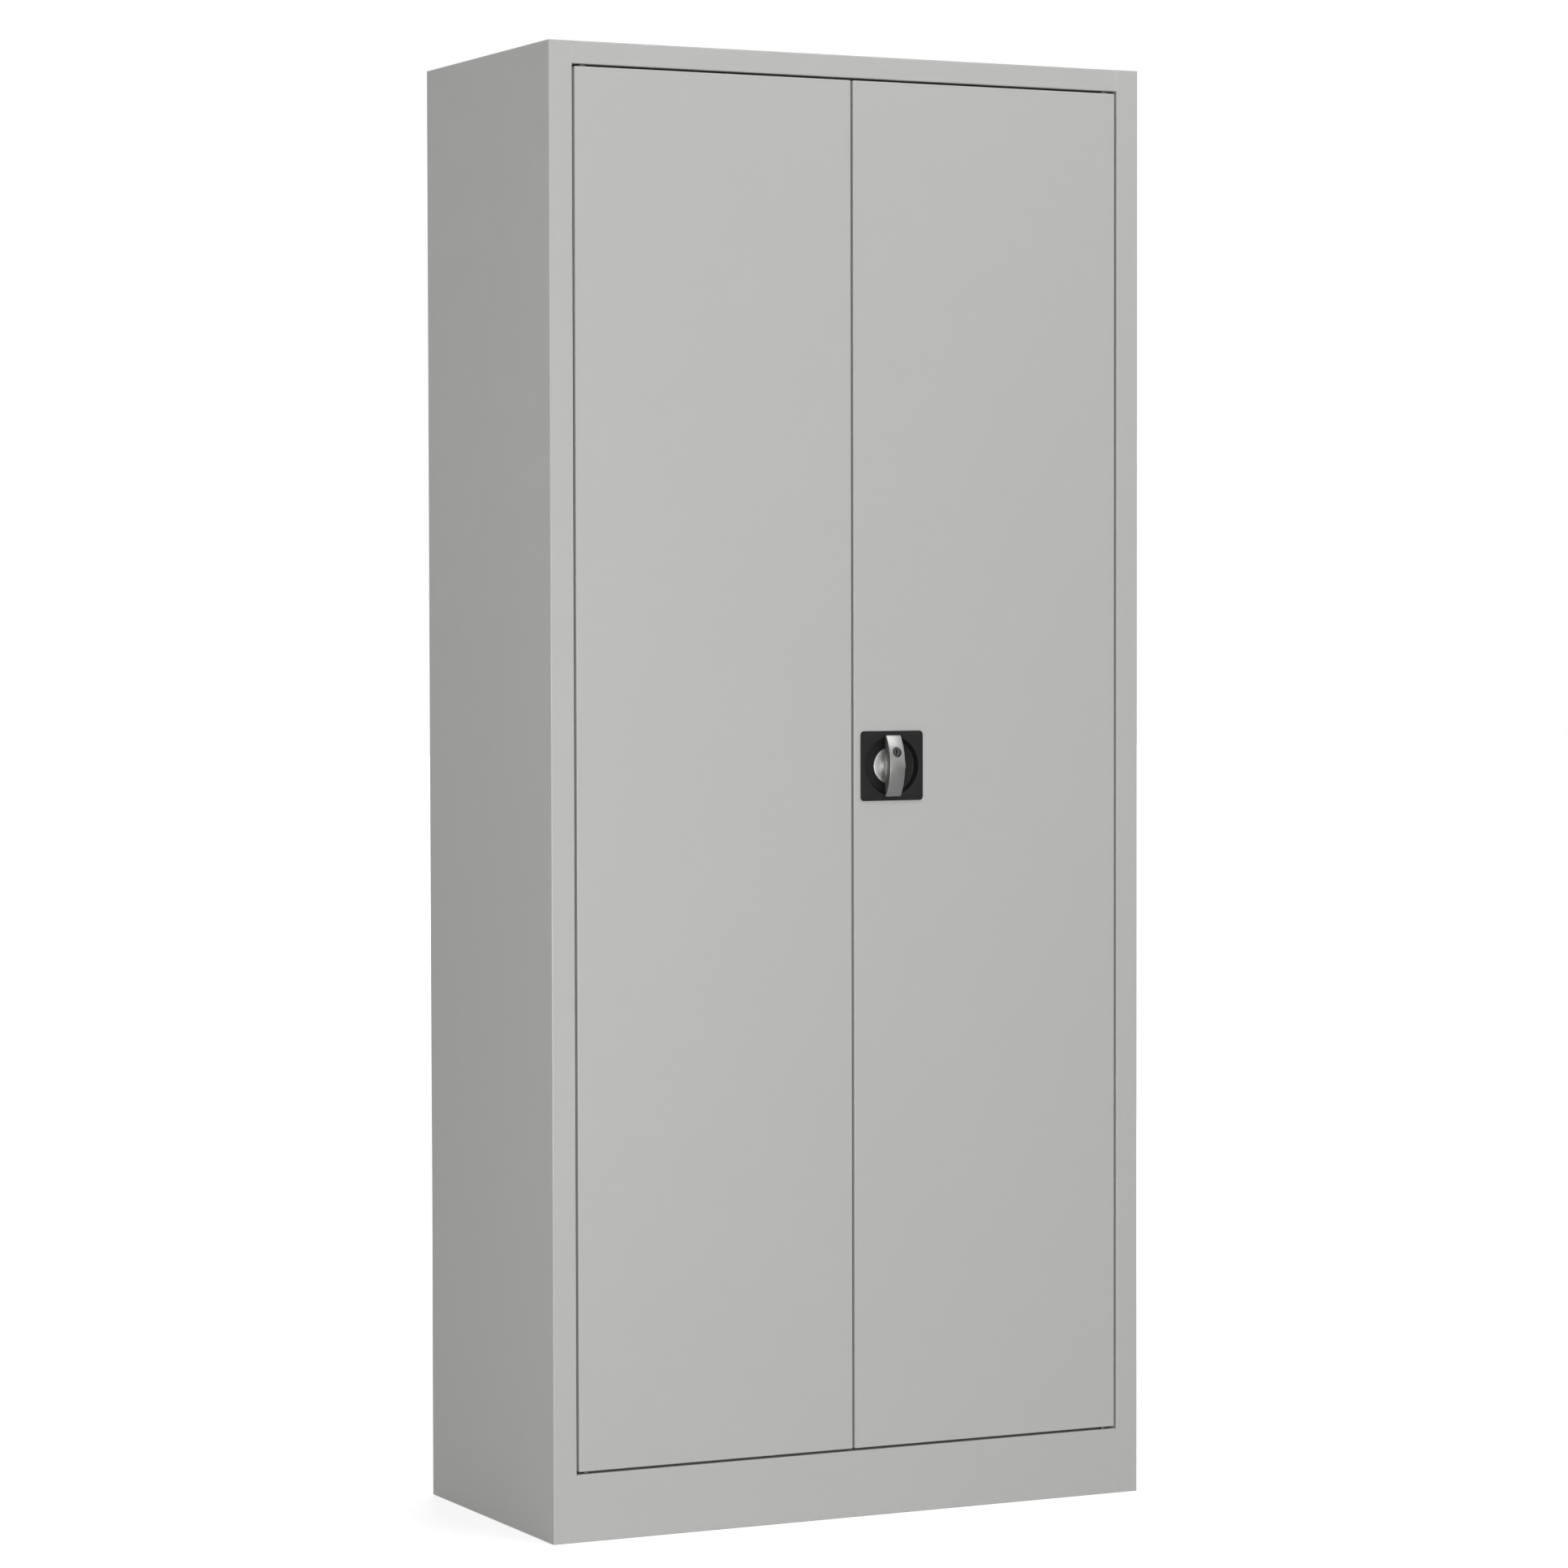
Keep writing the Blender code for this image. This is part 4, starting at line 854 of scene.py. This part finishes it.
def addHingePins():
    look = hingeLook
    tip = look["pinTip"] * mm
    bottom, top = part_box("hinge_pin_bottom_left"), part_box("hinge_pin_top_left")
    middle = centreOf("hinge_pin_bottom_left")
    start = bottom[1].z - tip
    pins = pairOf("hingePins", lathe("pin", look["pin"], look["steps"]), abs(middle.x))
    growUp(pins, "zinc_plate", (0, middle.y, start), top[0].z + tip - start, turnLast=math.pi)
    dress(pins, "carcass", "zinc_plate", *named("hinge_pin"))
    # painted shade: dark steel instead of the pins' zinc plating, so that the collars stay dark in
    # the door gaps
    pins.data.materials[0] = finishes["cylinder_steel"]


def addBushes(sideName):
    names = ("hinge_bush_bottom_" + sideName, "hinge_bush_top_" + sideName)
    bottom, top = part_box(names[0]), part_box(names[1])
    middle = centreOf(names[0])
    bushes = lathe(sideName + "HingeBushes", hingeLook["bush"], hingeLook["steps"], closed=True)
    start = (middle.x, middle.y, bottom[0].z)
    growUp(bushes, "white_nylon", start, top[1].z - bottom[0].z, turnLast=math.pi)
    dress(bushes, sideName + "_door", "white_nylon", *names)


def addBuffers():
    look = hingeLook
    bottom, top = centreOf("door_buffer_bottom_left"), centreOf("door_buffer_top_left")
    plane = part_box("door_buffer_bottom_left")[0].y + look["bufferFace"] * mm
    single = moved(lathe("buffer", look["buffer"], look["steps"]), lie)
    buffers = pairOf("doorBuffers", single, abs(bottom.x))
    growUp(buffers, "soft_rubber", (0, plane, bottom.z), top.z - bottom.z)
    dress(buffers, "carcass", "soft_rubber", *named("door_buffer"))


# Seams: the butt joints of rail and plinth with the jambs, welded, ground flush and coated

seamLook = {"half": 2.2, "deep": 0.6, "sink": 0.02, "endGap": 1.3, "rail": 26.5, "pastPlinth": 0.2}


def addSeams():
    look = seamLook
    half, deep, sink, gap = pick(look, "half deep sink endGap")
    plinth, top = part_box("plinth_front"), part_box("top_panel")[1].z
    step = 2 * sink
    face = [(-half, deep), (-half, step), (step - half, sink)]
    face += [(-x, y) for x, y in reversed(face)]
    runs = bmesh.new()
    for low, high in ((plinth[0].z, plinth[1].z), (top - look["rail"] * mm, top)):
        run = prism("run", face, low / mm + gap, high / mm - gap)
        runs.from_mesh(run.data)
        bpy.data.objects.remove(run)
    seams = pairOf("seamWelds", meshObject("runs", runs), plinth[1].x + look["pastPlinth"] * mm)
    dress(moved(seams, Matrix.Translation((0, front, 0))), "carcass", "grey_coating")


addSeams()
addHingePins()
addBuffers()
for sideName in ("left", "right"):
    addBushes(sideName)
print("hinges and buffers")


# Lock, drawn about the handle's axis in mm: x across, y up, z out of the door

lockCentre = centreOf("lock_plate")
toLock = Matrix.Translation((lockCentre.x, front, lockCentre.z)) @ lie
past = 1  # mm that a cutter reaches beyond the faces that it opens

plateLook = {
    "corner": 4.5, "edge": 0.7,
    "roundSteps": 144, "cornerSteps": 8, "closest": 0.012,  # radians between two steps
    "back": 0.3, "front": 2.3,
    "dish": 36.0, "dishRim": 0.5, "dishFoot": 34.5, "fillet": 2.0, "floor": -6.9,
    "cup": 37.5, "cupBack": -8.4,
    "bore": 5.8, "neck": 10.6, "neckEnd": -20.9, "mouth": 0.5, "boreEdge": 0.3,
    "thread": 0.38, "threadStart": -20.3, "threadLength": 5.4, "threadTurns": 3.6,
}


def squareRule(half, corner):
    # distance from the middle to the rim of a square with round corners, by angle
    def rule(a):
        across, up = abs(math.cos(a)), abs(math.sin(a))
        flat = half / max(across, up)
        inner = half - corner
        if flat * min(across, up) <= inner:
            return flat
        along = inner * (across + up)
        return along + math.sqrt(along * along - 2 * inner * inner + corner * corner)
    return rule


def plateAngles(half, corner):
    # even steps, and close ones round the corners
    steps, quarter = plateLook["cornerSteps"], math.pi / 2
    start = math.atan2(half - corner, half)
    sweep = quarter - 2 * start
    close = [q * quarter + start + sweep * i / steps for q in range(4) for i in range(steps + 1)]
    even, closest = evenAngles(plateLook["roundSteps"]), plateLook["closest"]
    return sorted(close + [a for a in even if all(abs(a - c) > closest for c in close)])


def addLockPlate():
    look = plateLook
    low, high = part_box("lock_plate")
    half = (high.x - low.x) / 2 / mm
    corner, edge, behind, face = pick(look, "corner edge back front")
    angles = plateAngles(half, corner)
    outer = [(0, behind)] + [(edge - r, z) for r, z in fillet(0, face - edge, edge, start=0)]
    rings = [ringAt(angles, squareRule(half - inset, corner - inset), z) for inset, z in outer]
    size, dish, dishRim, foot, floor = pick(look, "fillet dish dishRim dishFoot floor")
    cup, cupBack, bore, neck, end = pick(look, "cup cupBack bore neck neckEnd")
    mouth, rim = pick(look, "mouth boreEdge")
    profile = fillet(dish + dishRim, face - dishRim, dishRim, start=90)
    profile += fillet(foot - size, floor + size, size, start=0, sweep=-90)
    profile += [(bore + mouth, floor), (bore, floor - mouth), (bore, end + rim), (bore + rim, end)]
    profile += [(neck - mouth, end), (neck, end + mouth), (neck, cupBack)]
    profile += fillet(cup - size, cupBack + size, size, start=-90) + [(cup, behind)]
    rings += [ringAt(angles, r, z) for r, z in profile]
    plate = moved(meshObject("handlePlate", skin(bmesh.new(), rings, closed=True)), toLock)
    dress(plate, "right_door", "black_plastic", "lock_plate")


def addNeckThread():
    look = plateLook
    thread = meshObject("neckThread", bmesh.new())
    grow(
        thread, "threadRidge", radius=look["neck"] * mm, length=look["threadLength"] * mm,
        turns=look["threadTurns"], ridge=look["thread"] * mm, finish=finishes["black_plastic"],
    )
    moved(thread, toLock @ Matrix.Translation((0, 0, look["threadStart"] * mm)))
    dress(thread, "right_door", "black_plastic")


bowLook = {
    "length": 75.0, "width": 20.5,
    "archRadius": 64.0, "archSteps": 48, "back": 3.1,
    "edge": 0.9,
    "hub": [
        (0, -20.9), (5.5, -20.9), (5.5, -6.6), (21.4, -6.6), (22.0, -6.1), (22.0, -4.4),
        (21.8, -3.9), (21.2, -3.6), (18.6, -3.6), (18.3, -3.85), (17.9, -3.85), (17.6, -3.6),
        (10.6, -3.6), (9.5, -3.1), (9.0, -2.0), (9.0, 11.0), (0, 11.0),
    ],
    "square": 3.5, "squareCorner": 0.4, "squareEnds": (-26.0, -18.9),
    "keyUp": 17.0, "keyHole": 6.3, "keyHoleEnds": (4, 30),
    "screwHole": 2.3, "screwHoleEnds": (-27.0, -17.0),
}


def bowOutline(crown):
    # side view of the bow as (up, out) points: arched front, flat back
    length, radius, back, steps = pick(bowLook, "length archRadius back archSteps")
    half = length / 2
    heights = [half - length * i / steps for i in range(steps + 1)]
    arch = [(up, crown - radius + math.sqrt(radius ** 2 - up ** 2)) for up in heights]
    return arch + [(-half, back), (half, back)]


def cylinder(name, radius, ends, steps):
    # plain, between two heights along z
    low, high = ends
    return lathe(name, [(0, low), (radius, low), (radius, high), (0, high)], steps)


def addBow():
    look = bowLook
    crown = (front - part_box("handle_grip")[0].y) / mm
    bow = prism("handleBow", bowOutline(crown), -look["width"] / 2, look["width"] / 2)
    roundEdges(moved(bow, fromSide), look["edge"] * mm, segments=3)
    square = roundedBox(look["square"], look["square"], look["squareCorner"])
    square = prism("square", square, *look["squareEnds"])
    carve(bow, [lathe("hub", look["hub"], steps=96), square], "UNION")
    keyHole = cylinder("keyHole", look["keyHole"], look["keyHoleEnds"], steps=64)
    moved(keyHole, Matrix.Translation((0, look["keyUp"] * mm, 0)))
    screwHole = cylinder("screwHole", look["screwHole"], look["screwHoleEnds"], steps=24)
    carve(bow, [keyHole, screwHole])
    dress(moved(bow, toLock), "handle", "cast_metal", "handle_grip")


cylinderLook = {
    "radius": 6.0,
    # the face's rim and hollow, as radius and depth
    "face": [(6.0, 0.5), (5.85, 0.15), (5.5, 0), (4.6, 0), (4.4, 0.25), (0, 0.25)],
    "keyway": (0.7, 3.6), "keywayCorner": 0.35, "keywayDepth": 4.0,
    "ward": (0.7, 1.1), "wardCorner": 0.2, "wardAt": (0.9, 0.4),
}


def addKeyCylinder():
    look = cylinderLook
    low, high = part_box("lock_cylinder")
    face, back = (front - low.y) / mm, (front - high.y) / mm
    profile = [(0, back), (look["radius"], back)] + [(r, face - down) for r, down in look["face"]]
    plug = lathe("keyCylinder", profile, steps=64)
    ends = face - look["keywayDepth"], face + past
    slot = prism("slot", roundedBox(*look["keyway"], look["keywayCorner"]), *ends)
    ward = roundedBox(*look["ward"], look["wardCorner"], middle=look["wardAt"])
    carve(plug, [slot, prism("ward", ward, *ends)])
    up = (low.z + high.z) / 2 - lockCentre.z
    moved(plug, toLock @ Matrix.Translation((0, up, 0)))
    dress(plug, "key_core", "cylinder_steel", "lock_cylinder")


strapLook = {
    "sheet": 1.5, "width": 40.0, "bend": 2.2, "edge": 0.25,
    "leg": 39.5, "end": 55.5, "foot": -1.85, "crown": -9.45, "hole": 11.3,
}


def addStrap():
    look = strapLook
    leg, end, foot, crown = pick(look, "leg end foot crown")
    path = [(end, foot), (leg, foot), (leg, crown), (-leg, crown), (-leg, foot), (-end, foot)]
    half, through = look["width"] / 2, 2 * look["sheet"]
    strap = ribbon("clampStrap", bentLine(path, look["bend"]), -half, half, look["sheet"])
    moved(strap, fromSide)
    hole = cylinder("hole", look["hole"], (crown - through, crown + through), steps=64)
    carve(strap, [hole])
    roundEdges(strap, look["edge"] * mm)
    dress(moved(strap, toLock), "right_door", "zinc_plate", "lock_bridge")


nutLook = {
    "half": 14.0, "bore": 11.2, "low": -14.5, "high": -10.5,
    "mouth": 0.5, "faceOver": 0.15, "chamferShare": 0.55, "steps": 96,
}


def addRingNut():
    look = nutLook
    half, low, high, bore, mouth = pick(look, "half low high bore mouth")

    def hexagon(a):
        return half / math.cos(a % (math.pi / 3) - math.pi / 6)

    def rounded(a):
        return min(hexagon(a), half + look["faceOver"])

    def drop(a):
        return look["chamferShare"] * (hexagon(a) - rounded(a))

    angles = evenAngles(look["steps"])
    rings = [
        ringAt(angles, radius, height) for radius, height in (
            (bore, low + mouth), (bore + mouth, low), (rounded, low),
            (hexagon, lambda a: low + drop(a)), (hexagon, lambda a: high - drop(a)),
            (rounded, high), (bore + mouth, high), (bore, high - mouth),
        )
    ]
    nut = meshObject("ringNut", skin(bmesh.new(), rings, closed=True))
    dress(moved(nut, toLock), "right_door", "zinc_plate", "ring_nut")


linkLook = {
    "tongueEye": 9.0, "tongueTip": 5.0, "tongue": (-23.2, -21.2), "tipSteps": 12, "eyeSteps": 24,
    "disc": 19.5, "discEnds": (-26.0, -23.5),
    "pin": 2.5, "pinAt": 15.0, "pinAngles": (-45, 135), "pinEnds": (-32.5, -24.3),
    "squareHole": 3.8, "squareCorner": 0.4, "edge": 0.3,
    "screw": [
        (0, -28.3), (2.4, -28.26), (4.0, -27.95), (4.7, -27.5), (5.0, -26.9), (5.0, -26.3),
        (2.0, -26.3), (2.0, -18.3), (0, -18.3),
    ],
    "recess": (0.55, 2.4), "recessCorner": 0.2, "recessDepth": 1.2,
}


def squareCutter(low, high):
    side, corner = pick(linkLook, "squareHole squareCorner")
    return prism("squareHole", roundedBox(side, side, corner), low - past, high + past)


def addTongue():
    look = linkLook
    low, high = look["tongue"]
    eye, tip, tipSteps, eyeSteps = pick(look, "tongueEye tongueTip tipSteps eyeSteps")
    reach = (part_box("latch_tongue")[1].z - lockCentre.z) / mm - tip
    lean = math.asin((eye - tip) / reach)
    turn = [lean + (math.pi - 2 * lean) * i / tipSteps for i in range(tipSteps + 1)]
    outline = [(tip * math.cos(a), reach + tip * math.sin(a)) for a in turn]
    turn = [math.pi - lean + (math.pi + 2 * lean) * i / eyeSteps for i in range(eyeSteps + 1)]
    outline += [(eye * math.cos(a), eye * math.sin(a)) for a in turn]
    tongue = carve(prism("latchTongue", outline, low, high), [squareCutter(low, high)])
    roundEdges(tongue, look["edge"] * mm)
    dress(moved(tongue, toLock), "handle", "zinc_plate", "latch_tongue")


def addCrankDisc():
    look = linkLook
    disc = cylinder("crankDisc", look["disc"], look["discEnds"], steps=64)
    pins = []
    for degrees in look["pinAngles"]:
        a, away = math.radians(degrees), look["pinAt"] * mm
        pin = cylinder("pin", look["pin"], look["pinEnds"], steps=32)
        pins.append(moved(pin, Matrix.Translation((away * math.cos(a), away * math.sin(a), 0))))
    carve(disc, pins, "UNION")
    carve(disc, [squareCutter(*look["discEnds"])])
    roundEdges(disc, look["edge"] * mm)
    dress(moved(disc, toLock), "handle", "zinc_plate", "crank_disc")


def addSpindleScrew():
    look = linkLook
    screw = lathe("spindleScrew", look["screw"], steps=40)
    low, corner = look["screw"][0][1], look["recessCorner"]
    bars = [
        prism("recess", roundedBox(*half, corner, steps=2), low - past, low + look["recessDepth"])
        for half in (look["recess"], look["recess"][::-1])
    ]
    carve(screw, bars)
    dress(moved(screw, toLock), "handle", "zinc_plate", "spindle_screw")


rodLook = {
    "corner": 1.0, "tip": 3.0, "edge": 0.35,
    "slot": (5.2, 3.3), "slotCorner": 1.0, "slotDown": 10.6066,
}


def addRod(endName, way, body):
    look = rodLook
    node = "rod_" + endName
    low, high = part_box(node)
    half = (high.x - low.x) / 2 / mm
    near, far = (low.z, high.z) if way > 0 else (high.z, low.z)
    near, far = (near - lockCentre.z) / mm, (far - lockCentre.z) / mm
    corner, tip = look["corner"], look["tip"]
    side = [(half - corner, near), (half, near + way * corner)]
    side += [(half, far - way * tip), (half - tip, far)]
    outline = [(-half + corner, near), *side] + [(-x, y) for x, y in reversed(side[1:])]
    planes = (front - high.y) / mm, (front - low.y) / mm
    rod = prism(endName + "Rod", outline, *planes)
    slot = roundedBox(*look["slot"], look["slotCorner"], middle=(0, -way * look["slotDown"]))
    carve(rod, [prism("slot", slot, planes[0] - past, planes[1] + past)])
    roundEdges(rod, look["edge"] * mm)
    across = (low.x + high.x) / 2 - lockCentre.x
    dress(moved(rod, toLock @ Matrix.Translation((across, 0, 0))), body, "zinc_plate", node)


guideLook = {"corner": 2.0, "play": 0.4, "windowCorner": 0.3, "edge": 0.5}


def addGuide(endName):
    look = guideLook
    node = "rod_guide_" + endName
    low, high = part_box(node)
    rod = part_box("rod_" + endName)
    middle, size = (low + high) / 2, (high - low) / 2 / mm
    block = roundedBox(size.x, size.y, look["corner"])
    block = prism(endName + "RodGuide", block, -size.z, size.z)
    halves = [(rod[1][i] - rod[0][i]) / 2 / mm + look["play"] for i in (0, 1)]
    centre = [((rod[0][i] + rod[1][i]) / 2 - middle[i]) / mm for i in (0, 1)]
    window = roundedBox(*halves, look["windowCorner"], middle=centre)
    carve(block, [prism("window", window, -size.z - past, size.z + past)])
    roundEdges(block, look["edge"] * mm)
    dress(moved(block, Matrix.Translation(middle)), "right_door", "white_nylon", node)


addLockPlate()
addNeckThread()
addBow()
addKeyCylinder()
addStrap()
addRingNut()
addTongue()
addCrankDisc()
addSpindleScrew()
for endName, way, body in (("top", 1, "upper_rod"), ("bottom", -1, "lower_rod")):
    addRod(endName, way, body)
    addGuide(endName)
print("lock and rods")


# Stage, lamps and camera

cameraLook = {
    "framePixels": 1932,
    "focalPixels": 6039.5,
    "azimuth": -26.2804,
    "pitchDown": 1.9844,
    "roll": -0.1164,
    "at": (-2.715, -5.3086, 1.1043),  # y is counted from the doors' front
}


def addCamera():
    look = cameraLook
    camera = bpy.data.cameras.new("camera")
    camera.sensor_width = 36
    camera.lens = camera.sensor_width * look["focalPixels"] / look["framePixels"]
    camera.clip_end = 200
    holder = newObject("camera", camera)
    turn, pitch, roll = map(math.radians, pick(look, "azimuth pitchDown roll"))
    level = math.cos(pitch)
    back = Vector((math.sin(turn) * level, -math.cos(turn) * level, math.sin(pitch)))
    right = Vector((0, 0, 1)).cross(back).normalized()
    up = back.cross(right)
    across = right * math.cos(roll) + up * math.sin(roll)
    upright = up * math.cos(roll) - right * math.sin(roll)
    place = Vector(look["at"]) + Vector((0, front, 0))
    turned = Matrix((across, upright, back)).transposed().to_4x4()
    holder.matrix_world = Matrix.Translation(place) @ turned
    bpy.context.scene.camera = holder


worldLook = {"strength": 0.265}


def addWorld():
    world = bpy.data.worlds.new("studioWhite")
    world.use_nodes = True
    bpy.context.scene.world = world
    tree = world.node_tree
    background = tree.nodes["Background"]
    rays = tree.nodes.new("ShaderNodeLightPath")
    seen = mathNode(tree, "ADD", rays.outputs["Is Camera Ray"], rays.outputs["Is Glossy Ray"])
    seen = mathNode(tree, "ADD", seen, rays.outputs["Is Transmission Ray"])
    strength = mapRange(tree, seen, 0.0, 1.0, worldLook["strength"], 1.0)
    background.inputs["Color"].default_value = (1, 1, 1, 1)
    wire(tree, strength, background.inputs["Strength"])


floorLook = {
    "name": "paleFloor", "colour": (0.90, 0.90, 0.90), "metallic": 0.0, "specular": 0.1,
    "roughness": 0.9, "size": 60.0, "glow": 0.60,
    "shadowReach": (1.2, 3.5),  # where the floor's own tone fades into plain white
}


def addFloor():
    look = floorLook
    material, tree, shader, place = startMaterial(look)
    shader.inputs["Base Color"].default_value = (*look["colour"], 1)
    shader.inputs["Roughness"].default_value = look["roughness"]
    shader.inputs["Emission Color"].default_value = (1, 1, 1, 1)
    distance = vectorNode(tree, "LENGTH", place).outputs["Value"]
    glow = mapRange(tree, distance, *look["shadowReach"], look["glow"], 1.0)
    seen = tree.nodes.new("ShaderNodeLightPath").outputs["Is Camera Ray"]
    wire(tree, mathNode(tree, "MULTIPLY", seen, glow), shader.inputs["Emission Strength"])
    bm = bmesh.new()
    bmesh.ops.create_grid(bm, x_segments=8, y_segments=8, size=look["size"] / 2)
    floor = meshObject("floor", bm)
    floor.data.materials.append(material)


lampLook = {
    "key": {"at": (-2.0, -3.5, 0.5), "size": 0.9, "power": 60.0},
    "fill": {"at": (0.2, -4.2, 0.5), "size": 0.9, "power": 10.0},
    "overhead": {"at": (0.95, -1.9, 3.6), "size": 2.0, "power": 33.0},
    "side": {"at": (-3.8, 0.3, 0.7), "size": 1.4, "power": 9.0},
    "rear": {"at": (1.8, 4.0, 1.5), "size": 2.4, "power": 58.0},
}


def addLamps():
    aim = Vector((0, 0, cadBounds[1].z / 2))
    for name, lamp in lampLook.items():
        light = bpy.data.lights.new(name, "AREA")
        light.shape = "DISK"
        light.size = lamp["size"]
        light.energy = lamp["power"]
        holder = newObject(name, light)
        holder.location = lamp["at"]
        holder.rotation_euler = (Vector(lamp["at"]) - aim).to_track_quat("Z", "Y").to_euler()


addCamera()
addWorld()
addFloor()
addLamps()
bpy.context.scene.view_settings.view_transform = "Standard"
print("stage, lamps and camera")
